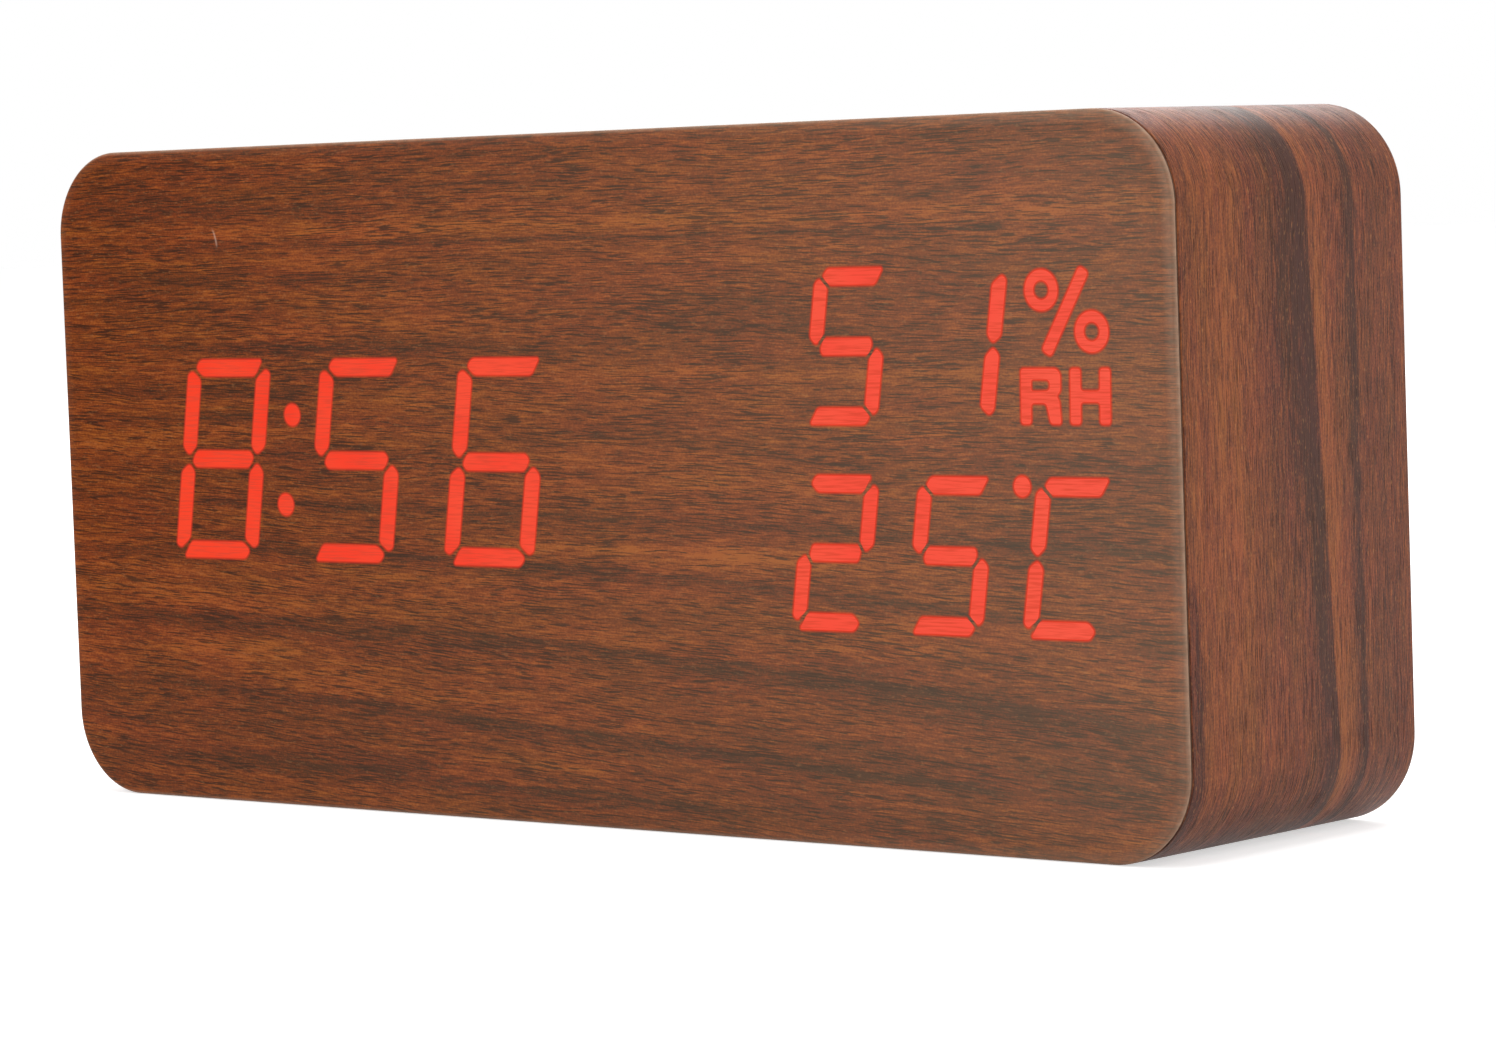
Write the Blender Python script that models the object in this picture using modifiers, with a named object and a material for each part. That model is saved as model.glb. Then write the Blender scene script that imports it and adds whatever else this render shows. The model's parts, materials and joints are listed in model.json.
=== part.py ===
"""Wooden digital alarm clock: a film-wrapped fibreboard case with a segment display behind its front.

Metres, +Z up. The origin is the middle of the underside. +X is to the right as seen from the
front, and the front face looks along -Y. Pieces that seat on each other keep seat_gap between them.
"""

import math

import bmesh
import bpy
from mathutils import Matrix, Vector

# Case
case_width = 0.150
case_depth = 0.038
case_height = 0.070
case_corner = 0.009
corner_steps = 8
small_steps = 3
film_thickness = 0.0005
seat_gap = 0.0003
cut_over = 0.002
merge_distance = 0.00001
casing_wall = 0.004
front_wall = 0.0027
wrap_lip_inset = 0.0005

# Corner blocks, which take the screws of the rear cover
block_length = 0.009
block_height = 0.0065
block_depth = 0.012

# Display stack, front to back
diffuser_thickness = 0.0004
diffuser_margin = 0.0015
diffuser_corner = 0.0015
reflector_depth = 0.0080
flange_thickness = 0.0025
display_plate_gap = 0.0008
board_thickness = 0.0016
block_corner = 0.0010
block_margin = 0.0012
led_length = 0.0008
led_width = 0.0006
led_height = 0.0007

# Readout: digit sizes are between the centre lines of their strokes
lean_slope = 0.156
well_wall = 0.00045
well_taper_share = 0.65
well_over = 0.0003
time_digit_width = 0.0105
time_digit_height = 0.0195
time_stroke = 0.0019
time_pitch = 0.02005
time_middle_from_left = 0.04455
time_rise = 0.0018
colon_spacing = 0.0095
colon_radius = 0.00105
reading_digit_width = 0.0076
reading_digit_height = 0.0134
reading_stroke = 0.0016
reading_pitch = 0.0141
reading_last_from_right = 0.0128
humidity_shift = 0.0022
humidity_rise_share = 0.19
temperature_drop_share = 0.0943
degree_radius = 0.00095
degree_offset = 0.0053
degree_rise = 0.0067
percent_well_width = 0.0104
percent_well_height = 0.0081
percent_from_right = 0.0123
percent_rise = 0.0031
unit_well_height = 0.0056
unit_well_drop = 0.0048
dot_sides = 10

# Parts on the back of the display board
chip_length = 0.018
chip_width = 0.0075
chip_height = 0.0022
chip_screw_gap = 0.0060
chip_rise = 0.0050
chip_lead_count = 10
chip_lead_width = 0.0007
chip_lead_reach = 0.0012
chip_lead_height = 0.0008
crystal_length = 0.010
crystal_width = 0.0042
crystal_height = 0.0033
crystal_clearance = 0.004
crystal_round_share = 0.49

# Screws
display_screw_radius = 0.0008
display_screw_head_radius = 0.0016
display_screw_head_height = 0.0012
display_screw_length = 0.0055
display_boss_radius = 0.0022
display_screw_left_inset = 0.0054
display_screw_right_inset = 0.0026
display_screw_edge_inset = 0.0096
cover_screw_radius = 0.0011
cover_screw_head_radius = 0.0019
cover_screw_head_height = 0.0013
cover_screw_length = 0.0095
counterbore_depth = 0.0010
screw_sides = 12
screw_slot_width_share = 0.28
screw_slot_length_share = 1.3
screw_slot_depth_share = 0.5
screw_dome_share = 0.45
screw_crown_share = 0.6

# Rear cover
cover_recess = 0.0016
cover_thickness = 0.0020

# Battery bay: cells lie along X, one above the other
cell_count = 3
cell_length = 0.0445
cell_radius = 0.00525
cell_sides = 20
cell_rim_share = 0.86
cell_rim_length = 0.0006
nub_length = 0.0008
nub_radius = 0.0019
cell_spacing = 0.0008
cell_clearance = 0.0004
bay_side_clearance = 0.0005
bay_side_room = 0.0081
bay_wall = 0.0026
bay_ledge = 0.0013
bay_floor = 0.0012
ridge_drop = 0.0035
bay_corner = 0.0008
trough_sides = 24
trough_end_inset = 0.0003
spring_length = 0.0032
spring_wire = 0.0005
spring_base_radius = 0.0033
spring_tip_radius = 0.0019
spring_turns = 3
spring_turn_points = 10
plate_thickness = 0.0004
plate_width = 0.0090
plate_below = 0.0040
plate_above = 0.0030
tail_width = 0.0024
tail_reach = 0.0019

# Battery door
door_thickness = 0.0015
door_corner = 0.0012
tab_offset = 0.0150
tab_width = 0.0040
tab_reach = 0.0016
tab_thickness = 0.0010
tab_leg = 0.0015
tab_leg_inset_share = 0.2
tab_pocket_relief = 0.0002
tongue_width = 0.0120
tongue_length = 0.0090
tongue_slit = 0.0010
catch_thickness = 0.0014
catch_depth = 0.0017
grip_count = 4
grip_width = 0.0008
grip_pitch = 0.0016
grip_height = 0.0004
grip_inset = 0.0010

# Buttons and their switches
button_travel = 0.0005
button_names = ("set_button", "up_button", "down_button")
button_pitch_share = 0.302
button_edge_share = 0.17
button_row_share = 0.79
button_radius = 0.0035
button_rise = 0.0014
button_dome = 0.0004
button_crown_share = 0.6
button_crown_drop_share = 0.3
button_flange_radius = 0.0046
button_flange_thickness = 0.0006
button_sides = 24
switch_size = 0.0060
switch_height = 0.0034
switch_floor = 0.0015
plunger_radius = 0.0015
switch_corner = 0.0005

# Control board, carried by two bosses of the rear cover
key_board_side_share = 0.126
key_board_bay_share = 0.221
key_board_low_room = 0.0027
key_board_high_room = 0.0067
key_board_corner = 0.0010
boss_radius = 0.0026
boss_inset = 0.0036
key_screw_radius = 0.0010
key_screw_head_radius = 0.0019
key_screw_head_height = 0.0012
key_screw_length = 0.0050

# Socket, buzzer and sensor on the control board
low_row_share = 0.237
socket_edge_share = 0.151
socket_size = 0.0076
socket_nose_radius = 0.0031
socket_bore_radius = 0.0018
socket_bore_depth = 0.0059
socket_pin_radius = 0.00065
socket_pin_inset = 0.0006
buzzer_edge_share = 0.264
buzzer_radius = 0.0060
buzzer_headroom = 0.0005
buzzer_hole_radius = 0.0010
buzzer_hole_depth = 0.0012
sensor_length = 0.0060
sensor_width = 0.0050
sensor_height = 0.0016
sensor_port_radius = 0.0010
sensor_port_depth = 0.0008
slot_width = 0.0012
slot_pitch = 0.0024
sound_slot_count = 5
sound_slot_circle = 0.0062
air_slot_count = 4
air_slot_height = 0.0090
slot_corner_share = 0.45

# Ribbon between the boards, and the battery leads
ribbon_socket_shift = 0.0035
ribbon_socket_length = 0.0030
ribbon_socket_width = 0.0100
ribbon_socket_height = 0.0025
ribbon_width = 0.0080
ribbon_thickness = 0.0003
ribbon_run = 0.0080
ribbon_steps = 16
lead_radius = 0.0006
lead_spacing = 0.0034
route_steps = 12
lead_pad_inset = 0.0048
red_pad_drop = 0.0060
black_pad_rise = 0.0060

# Each lead's way: share of its run across, share of the room to the display board (of the room back to
# the control board where it is below zero), and rise above the straight line
red_way = (
    (0.005, 0.184, 0.0),
    (0.031, 0.414, 0.0002),
    (0.139, 0.506, 0.0009),
    (0.328, 0.471, 0.0019),
    (0.544, 0.425, 0.0028),
    (0.760, 0.448, 0.0024),
    (0.922, 0.356, 0.0013),
    (0.987, 0.011, 0.0002),
    (1.0, -0.557, 0.0),
)
black_way = (
    (0.01, 0.218, 0.0),
    (0.09, 0.402, 0.0002),
    (0.33, 0.448, 0.0003),
    (0.69, 0.356, 0.0001),
    (0.93, 0.057, 0.0),
    (1.0, -0.5, 0.0),
)

# Finishes: base colour, roughness, metallic
finishes = {
    "walnut_front": ((0.175, 0.062, 0.028), 0.45, 0.0),
    "walnut_wrap": ((0.200, 0.075, 0.036), 0.45, 0.0),
    "fibreboard": ((0.420, 0.280, 0.160), 0.85, 0.0),
    "black_moulding": ((0.012, 0.012, 0.013), 0.50, 0.0),
    "diffuser_film": ((0.800, 0.780, 0.760), 0.60, 0.0),
    "circuit_board": ((0.015, 0.120, 0.045), 0.45, 0.0),
    "chip_epoxy": ((0.020, 0.020, 0.022), 0.55, 0.0),
    "plated_steel": ((0.620, 0.620, 0.600), 0.30, 1.0),
    "screw_steel": ((0.450, 0.450, 0.450), 0.35, 1.0),
    "cell_sleeve": ((0.150, 0.160, 0.170), 0.35, 0.3),
    "switch_plastic": ((0.025, 0.025, 0.027), 0.50, 0.0),
    "switch_plunger": ((0.550, 0.540, 0.500), 0.50, 0.0),
    "ribbon_film": ((0.750, 0.740, 0.700), 0.40, 0.0),
    "socket_white": ((0.720, 0.690, 0.600), 0.50, 0.0),
    "red_insulation": ((0.500, 0.020, 0.015), 0.45, 0.0),
    "black_insulation": ((0.015, 0.015, 0.016), 0.45, 0.0),
}

# Places worked out from the sizes above
half_width = case_width / 2
front_y = -case_depth / 2
rear_y = case_depth / 2
sheet_back_y = front_y + film_thickness
casing_front_y = sheet_back_y + seat_gap
casing_rear_y = rear_y - film_thickness - seat_gap
casing_inset = film_thickness + seat_gap
cavity_inset = casing_inset + casing_wall
cavity_half_x = half_width - cavity_inset
cavity_low_z = cavity_inset
cavity_high_z = case_height - cavity_inset
wall_back_y = casing_front_y + front_wall
diffuser_back_y = casing_front_y + diffuser_thickness
reflector_front_y = diffuser_back_y + seat_gap
flange_front_y = wall_back_y + seat_gap
reflector_back_y = reflector_front_y + reflector_depth
display_plate_left = -cavity_half_x + display_plate_gap
display_plate_right = cavity_half_x - display_plate_gap
display_plate_bottom = cavity_low_z + display_plate_gap
display_plate_top = cavity_high_z - display_plate_gap
time_middle_x = -half_width + time_middle_from_left
time_middle_z = case_height / 2 + time_rise
temperature_tens_x = half_width - reading_last_from_right - 2 * reading_pitch
temperature_middle_z = case_height / 2 - case_height * temperature_drop_share
humidity_tens_x = temperature_tens_x + humidity_shift
humidity_middle_z = case_height / 2 + case_height * humidity_rise_share
percent_middle_x = half_width - percent_from_right
chip_middle_z = case_height / 2 + chip_rise
board_front_y = reflector_back_y + seat_gap
board_back_y = board_front_y + board_thickness
mounted_y = board_back_y + seat_gap
cover_outer_y = rear_y - cover_recess
cover_inner_y = cover_outer_y - cover_thickness
block_back_y = cover_inner_y - seat_gap
cover_screw_x = cavity_half_x - block_length / 2
cover_screw_low_z = cavity_low_z + block_height / 2
cover_screw_high_z = cavity_high_z - block_height / 2
door_inner_y = cover_outer_y - door_thickness
cell_y = door_inner_y - cell_clearance - cell_radius
cell_pitch = 2 * cell_radius + cell_spacing
bay_middle_z = case_height / 2
bay_length = cell_length + spring_length + 3 * seat_gap
bay_right_x = cavity_half_x - bay_side_room
bay_left_x = bay_right_x - bay_length
bay_half_z = cell_pitch * (cell_count - 1) / 2 + cell_radius + bay_side_clearance
bay_top_y = door_inner_y - seat_gap
trough_radius = cell_radius + seat_gap
bay_front_y = cell_y - trough_radius - bay_floor
opening_left_x = bay_left_x - bay_ledge
opening_right_x = bay_right_x + bay_ledge
opening_half_z = bay_half_z + bay_ledge
door_left_x = opening_left_x + seat_gap
door_right_x = opening_right_x - seat_gap
door_half_z = opening_half_z - seat_gap
tab_top_y = cover_inner_y - seat_gap
tab_low_y = tab_top_y - tab_thickness
tab_sweep = math.hypot(tab_reach, cover_outer_y - tab_low_y)
boss_length = switch_height + button_travel + button_flange_thickness + 2 * seat_gap
key_room_right = bay_left_x - bay_wall
key_room_length = cavity_half_x + key_room_right
key_board_left = -cavity_half_x + key_room_length * key_board_side_share
key_board_right = key_room_right - key_room_length * key_board_bay_share
key_board_length = key_board_right - key_board_left
key_board_bottom = cavity_low_z + block_height + key_board_low_room
key_board_top = cavity_high_z - block_height - key_board_high_room
key_board_height = key_board_top - key_board_bottom
key_board_back_y = cover_inner_y - boss_length - seat_gap
key_board_front_y = key_board_back_y - board_thickness
key_mounted_y = key_board_back_y + seat_gap
switch_top_y = key_mounted_y + switch_height
button_flange_back_y = cover_inner_y - seat_gap
button_flange_front_y = button_flange_back_y - button_flange_thickness
plunger_back_y = button_flange_front_y - seat_gap
plunger_front_y = key_mounted_y + switch_floor + button_travel + seat_gap
button_z = key_board_bottom + key_board_height * button_row_share
button_pitch = key_board_length * button_pitch_share
first_button_x = key_board_right - key_board_length * button_edge_share
button_middle_x = [first_button_x - i * button_pitch for i in range(len(button_names))]
low_row_z = key_board_bottom + key_board_height * low_row_share
socket_x = key_board_left + key_board_length * socket_edge_share
socket_body_back_y = cover_inner_y - seat_gap
socket_face_y = cover_outer_y - seat_gap
buzzer_x = key_board_right - key_board_length * buzzer_edge_share
buzzer_height = boss_length - buzzer_headroom
sensor_x = (socket_x + buzzer_x) / 2
boss_x = (key_board_left + boss_inset, key_board_right - boss_inset)
boss_z = (key_board_bottom + key_board_top) / 2
ribbon_socket_x = (key_board_left + key_board_right) / 2 + ribbon_socket_shift
ribbon_socket_z = boss_z


def clear_scene():
    for old in list(bpy.data.objects):
        bpy.data.objects.remove(old)


def new_collection(name):
    made = bpy.data.collections.new(name)
    bpy.context.scene.collection.children.link(made)
    return made


def make_materials():
    made = {}
    for name, (color, roughness, metallic) in finishes.items():
        material = bpy.data.materials.new(name)
        material.use_nodes = True
        shader = material.node_tree.nodes["Principled BSDF"]
        shader.inputs["Base Color"].default_value = (*color, 1)
        shader.inputs["Roughness"].default_value = roughness
        shader.inputs["Metallic"].default_value = metallic
        material.diffuse_color = (*color, 1)
        made[name] = material
    return made


clear_scene()
parts = new_collection("wooden_digital_alarm_clock")
cutters = new_collection("cutters")
materials = make_materials()


# Solids in bmesh

def box(low, high):
    """A box between two corners."""
    low, high = Vector(low), Vector(high)
    shape = bmesh.new()
    bmesh.ops.create_cube(shape, size=1)
    size = Matrix.Diagonal((*(high - low), 1))
    shape.transform(Matrix.Translation((low + high) / 2) @ size)
    return shape


def rounded_box(low, high, radius, steps=corner_steps):
    """A box whose four edges along Y are rounded."""
    shape = box(low, high)
    if radius > 0:
        along_y = [e for e in shape.edges if abs((e.verts[0].co - e.verts[1].co).normalized().y) > 0.9]
        bmesh.ops.bevel(
            shape, geom=along_y, offset=radius, segments=steps, profile=0.5, affect="EDGES"
        )
    return shape


def case_slice(inset, low_y, high_y):
    """The case's rounded outline, drawn in by inset, between two depths."""
    low = (-half_width + inset, low_y, inset)
    high = (half_width - inset, high_y, case_height - inset)
    return rounded_box(low, high, case_corner - inset)


def cylinder(middle, radius, low_y, high_y, sides, tip_radius=None):
    """A cylinder or cone along Y, round the point middle = (x, z)."""
    shape = bmesh.new()
    bmesh.ops.create_cone(
        shape,
        cap_ends=True,
        segments=sides,
        radius1=tip_radius if tip_radius is not None else radius,
        radius2=radius,
        depth=high_y - low_y,
    )
    turn = Matrix.Rotation(math.radians(-90), 4, "X")
    place = Matrix.Translation((middle[0], (low_y + high_y) / 2, middle[1]))
    shape.transform(place @ turn)
    return shape


def stepped_hole(middle, radius, head_radius, low_y, step_y, high_y):
    """A screw's hole with its counterbore, along Y, round the point middle = (x, z)."""
    shape = bmesh.new()
    rings = []
    for ring_radius, y in ((radius, low_y), (radius, step_y), (head_radius, step_y), (head_radius, high_y)):
        turns = [2 * math.pi * (i + 0.5) / screw_sides for i in range(screw_sides)]
        rings.append([shape.verts.new((middle[0] + ring_radius * math.cos(t), y,
                                       middle[1] + ring_radius * math.sin(t))) for t in turns])
    for near, far in zip(rings, rings[1:]):
        for i in range(screw_sides):
            shape.faces.new((near[i - 1], near[i], far[i], far[i - 1]))
    shape.faces.new(rings[0])
    shape.faces.new(rings[-1])
    bmesh.ops.recalc_face_normals(shape, faces=shape.faces)
    return shape


def tapered_well(outline, middle, low_y, high_y):
    """A loft along Y whose outline of (x, z) points is true at low_y and drawn in towards middle at
    high_y. It runs past both."""
    narrowing = (1 - well_taper_share) * well_over / (high_y - low_y)
    shape = bmesh.new()
    rings = []
    for share, y in ((1 + narrowing, low_y - well_over), (well_taper_share - narrowing, high_y + well_over)):
        rings.append([shape.verts.new((middle[0] + (x - middle[0]) * share, y,
                                       middle[1] + (z - middle[1]) * share)) for x, z in outline])
    front, back = rings
    shape.faces.new(front)
    shape.faces.new(back)
    for i in range(len(front)):
        shape.faces.new((front[i - 1], front[i], back[i], back[i - 1]))
    bmesh.ops.recalc_face_normals(shape, faces=shape.faces)
    return shape


def joined(shapes):
    """Several solids that stay clear of each other, as one bmesh."""
    whole = bmesh.new()
    for shape in shapes:
        mesh = bpy.data.meshes.new("piece")
        shape.to_mesh(mesh)
        shape.free()
        whole.from_mesh(mesh)
        bpy.data.meshes.remove(mesh)
    return whole


# Objects

def shade(mesh):
    mesh.shade_smooth()
    mesh.set_sharp_from_angle(angle=math.radians(30))


def add_part(name, shape, finish, origin=None):
    """One object for a sub-part. Its origin is the middle of its box unless one is given."""
    if origin is None:
        corners = [v.co for v in shape.verts]
        low = Vector(min(c[i] for c in corners) for i in range(3))
        high = Vector(max(c[i] for c in corners) for i in range(3))
        origin = (low + high) / 2
    origin = Vector(origin)
    mesh = bpy.data.meshes.new(name)
    shape.transform(Matrix.Translation(-origin))
    shape.to_mesh(mesh)
    shape.free()
    shade(mesh)
    part = bpy.data.objects.new(name, mesh)
    part.location = origin
    part.data.materials.append(materials[finish])
    parts.objects.link(part)
    return part


def add_cutter(name, shape):
    mesh = bpy.data.meshes.new(name)
    shape.to_mesh(mesh)
    shape.free()
    cutter = bpy.data.objects.new(name, mesh)
    cutter.hide_render = True
    cutter.display_type = "WIRE"
    cutters.objects.link(cutter)
    return cutter


def boolean(part, label, shape, operation):
    modifier = part.modifiers.new(label, "BOOLEAN")
    modifier.object = add_cutter(part.name + "_" + label, shape)
    modifier.operation = operation
    modifier.solver = "EXACT"


def cut(part, label, shape):
    boolean(part, label, shape, "DIFFERENCE")


def join(part, label, shape):
    boolean(part, label, shape, "UNION")


def add_turned(name, profile, finish, place, axis, sides):
    """A turned piece. The profile is (radius, height) points from its top, on the axis, to its bottom;
    the height runs along axis from place."""
    mesh = bpy.data.meshes.new(name)
    points = [(radius, 0, height) for radius, height in profile]
    mesh.from_pydata(points, [(i, i + 1) for i in range(len(points) - 1)], [])
    part = bpy.data.objects.new(name, mesh)
    parts.objects.link(part)
    screw = part.modifiers.new("turn", "SCREW")
    screw.axis = "Z"
    screw.steps = sides
    screw.render_steps = sides
    screw.use_merge_vertices = True
    screw.merge_threshold = merge_distance
    screw.use_smooth_shade = True
    part.location = place
    part.rotation_euler = Vector(axis).to_track_quat("Z", "Y").to_euler()
    part.data.materials.append(materials[finish])
    return part


def add_tube(name, points, radius, finish, resolution):
    """A wire of round section along a list of points, with closed ends."""
    curve = bpy.data.curves.new(name, "CURVE")
    curve.dimensions = "3D"
    curve.bevel_depth = radius
    curve.bevel_resolution = resolution
    curve.use_fill_caps = True
    line = curve.splines.new("POLY")
    line.points.add(len(points) - 1)
    for point, place in zip(line.points, points):
        point.co = (*place, 1)
    wire = bpy.data.objects.new(name, curve)
    wire.data.materials.append(materials[finish])
    parts.objects.link(wire)
    return wire


# Case

def make_casing():
    casing = add_part("casing_body", case_slice(casing_inset, casing_front_y, casing_rear_y), "fibreboard")
    cut(casing, "cavity", case_slice(cavity_inset, wall_back_y, casing_rear_y + cut_over))
    windows = [rounded_box(*grown(span, wall_back_y + cut_over), block_corner, small_steps)
               for span in display_blocks()]
    cut(casing, "windows", joined(windows))
    cut(casing, "diffuser_recess", diffuser_shape(seat_gap, casing_front_y - cut_over, reflector_front_y))
    sunk = casing_wall / 4
    blocks = []
    holes = []
    for side in (-1, 1):
        x_far = side * (cavity_half_x + sunk)
        x_near = side * (cavity_half_x - block_length)
        for low_z, high_z, screw_z in (
            (cavity_low_z - sunk, cavity_low_z + block_height, cover_screw_low_z),
            (cavity_high_z - block_height, cavity_high_z + sunk, cover_screw_high_z),
        ):
            low = (min(x_near, x_far), block_back_y - block_depth, low_z)
            high = (max(x_near, x_far), block_back_y, high_z)
            blocks.append(box(low, high))
            hole_end_y = block_back_y - cover_screw_length - seat_gap
            holes.append(cylinder((side * cover_screw_x, screw_z), cover_screw_radius + seat_gap,
                                  hole_end_y, block_back_y + cut_over, screw_sides))
    join(casing, "corner_blocks", joined(blocks))
    cut(casing, "pilot_holes", joined(holes))


def grown(span, back_y):
    """The window for a display block: its box with the seat gap all round, right through the wall."""
    low, high = span
    wide = Vector((seat_gap, 0, seat_gap))
    return (Vector((low[0], casing_front_y - cut_over, low[2])) - wide,
            Vector((high[0], back_y, high[2])) + wide)


def make_wrap():
    """The film round the edge, turned in over the rear rim as a flat lip."""
    wrap = add_part("side_wrap", case_slice(0, casing_front_y, rear_y), "walnut_wrap")
    cut(wrap, "inside", case_slice(film_thickness, casing_front_y - cut_over, rear_y - film_thickness))
    lip_inset = cavity_inset - wrap_lip_inset
    cut(wrap, "rear_opening", case_slice(lip_inset, rear_y - cut_over, rear_y + cut_over))


def make_front_sheet():
    add_part("front_sheet", case_slice(0, front_y, sheet_back_y), "walnut_front")


# Display

segment_shares = {
    "top": (0, 0.5, True),
    "upper_right": (0.5, 0.25, False),
    "lower_right": (0.5, -0.25, False),
    "bottom": (0, -0.5, True),
    "lower_left": (-0.5, -0.25, False),
    "upper_left": (-0.5, 0.25, False),
    "middle": (0, 0, True),
}
half_digit = ("upper_right", "lower_right")


def lean(middle, across, up):
    """A point of a digit, leaning to the right by lean_slope."""
    return (middle[0] + across + lean_slope * up, middle[1] + up)


def segment_well(middle, width, height, stroke, segment):
    """The six-sided outline of one segment and its middle."""
    across_share, up_share, level = segment_shares[segment]
    across, up = across_share * width, up_share * height
    tip_gap = well_wall / math.sqrt(2)
    half_long = (width if level else height / 2) / 2 - tip_gap
    half_stroke = stroke / 2
    outline = [
        (-half_long, 0),
        (-half_long + half_stroke, -half_stroke),
        (half_long - half_stroke, -half_stroke),
        (half_long, 0),
        (half_long - half_stroke, half_stroke),
        (-half_long + half_stroke, half_stroke),
    ]
    if not level:
        outline = [(-b, a) for a, b in outline]
    points = [lean(middle, across + a, up + b) for a, b in outline]
    return points, lean(middle, across, up)


def digit_wells(middle, width, height, stroke, segments=tuple(segment_shares)):
    return [segment_well(middle, width, height, stroke, s) for s in segments]


def dot_well(middle, radius):
    turns = [2 * math.pi * i / dot_sides for i in range(dot_sides)]
    return [(middle[0] + radius * math.cos(t), middle[1] + radius * math.sin(t)) for t in turns], middle


def plain_well(middle, width, height):
    corners = ((-1, -1), (1, -1), (1, 1), (-1, 1))
    return [(middle[0] + a * width / 2, middle[1] + b * height / 2) for a, b in corners], middle


def time_wells():
    """Three and a half digits, for a twelve-hour clock, with a colon."""
    size = (time_digit_width, time_digit_height, time_stroke)
    wells = []
    for place in (-1, 0, 1):
        wells += digit_wells((time_middle_x + place * time_pitch, time_middle_z), *size)
    wells += digit_wells((time_middle_x - 2 * time_pitch, time_middle_z), *size, half_digit)
    colon_middle = (time_middle_x - time_pitch / 2, time_middle_z)
    for side in (-1, 1):
        wells.append(dot_well(lean(colon_middle, 0, side * colon_spacing / 2), colon_radius))
    return wells


def reading_wells():
    """Two digits and two unit windows for the humidity; three digits and a dot for the temperature."""
    size = (reading_digit_width, reading_digit_height, reading_stroke)
    wells = []
    for place in (0, 1):
        wells += digit_wells((humidity_tens_x + place * reading_pitch, humidity_middle_z), *size)
    for place in (0, 1, 2):
        wells += digit_wells((temperature_tens_x + place * reading_pitch, temperature_middle_z), *size)
    degree_x = temperature_tens_x + 2 * reading_pitch - degree_offset
    wells.append(dot_well((degree_x, temperature_middle_z + degree_rise), degree_radius))
    wells.append(plain_well((percent_middle_x, humidity_middle_z + percent_rise),
                            percent_well_width, percent_well_height))
    wells.append(plain_well((percent_middle_x, humidity_middle_z - unit_well_drop),
                            percent_well_width, unit_well_height))
    return wells


def display_blocks():
    """Low and high corners of the two raised blocks that fill the windows."""
    spans = []
    for wells in (time_wells(), reading_wells()):
        xs = [x for outline, _ in wells for x, _ in outline]
        zs = [z for outline, _ in wells for _, z in outline]
        low = Vector((min(xs) - block_margin, reflector_front_y, min(zs) - block_margin))
        high = Vector((max(xs) + block_margin, reflector_back_y, max(zs) + block_margin))
        spans.append((low, high))
    return spans


def diffuser_shape(extra, low_y, high_y):
    spans = display_blocks()
    margin = diffuser_margin + extra
    low = (min(s[0].x for s in spans) - margin, low_y, min(s[0].z for s in spans) - margin)
    high = (max(s[1].x for s in spans) + margin, high_y, max(s[1].z for s in spans) + margin)
    return rounded_box(low, high, diffuser_corner, small_steps)


def display_screw_places():
    """Two at the left end, one between the blocks and one at the right, between the two rows."""
    time_block, reading_block = display_blocks()
    left_x = display_plate_left + display_screw_left_inset
    between_x = (time_block[1].x + reading_block[0].x) / 2
    between_z = (humidity_middle_z + temperature_middle_z) / 2
    return ((left_x, display_plate_bottom + display_screw_edge_inset),
            (left_x, display_plate_top - display_screw_edge_inset),
            (between_x, between_z),
            (display_plate_right - display_screw_right_inset, between_z))


def display_plate(low_y, high_y):
    return case_slice(cavity_inset + display_plate_gap, low_y, high_y)


def make_diffuser():
    add_part("diffuser_sheet", diffuser_shape(0, casing_front_y, diffuser_back_y), "diffuser_film")


def make_reflector():
    """The light housing: a flange, two blocks that fill the windows, and a well behind each segment."""
    flange = display_plate(flange_front_y, flange_front_y + flange_thickness)
    reflector = add_part("segment_reflector", flange, "black_moulding")
    blocks = [rounded_box(low, high, block_corner, small_steps) for low, high in display_blocks()]
    join(reflector, "blocks", joined(blocks))
    bosses = [cylinder(place, display_boss_radius, flange_front_y + flange_thickness / 2, reflector_back_y,
                       screw_sides) for place in display_screw_places()[:3]]
    join(reflector, "bosses", joined(bosses))
    wells = [tapered_well(outline, middle, reflector_front_y, reflector_back_y)
             for outline, middle in time_wells() + reading_wells()]
    cut(reflector, "wells", joined(wells))
    pilots = [cylinder(place, display_screw_radius + seat_gap,
                       mounted_y - display_screw_length - seat_gap, reflector_back_y + cut_over,
                       screw_sides) for place in display_screw_places()]
    cut(reflector, "pilot_holes", joined(pilots))


def make_display_board():
    """The board, with a small LED standing in each well."""
    board = add_part("display_board", display_plate(board_front_y, board_back_y), "circuit_board")
    leds = []
    for _, (x, z) in time_wells() + reading_wells():
        low = (x - led_length / 2, board_front_y - led_height, z - led_width / 2)
        high = (x + led_length / 2, board_front_y + board_thickness / 2, z + led_width / 2)
        leds.append(box(low, high))
    join(board, "leds", joined(leds))
    holes = [cylinder(place, display_screw_radius + seat_gap, board_front_y - cut_over,
                      board_back_y + cut_over, screw_sides) for place in display_screw_places()]
    cut(board, "screw_holes", joined(holes))


def chip_left_x():
    between_x, _ = display_screw_places()[2]
    return between_x + display_screw_head_radius + chip_screw_gap


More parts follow.
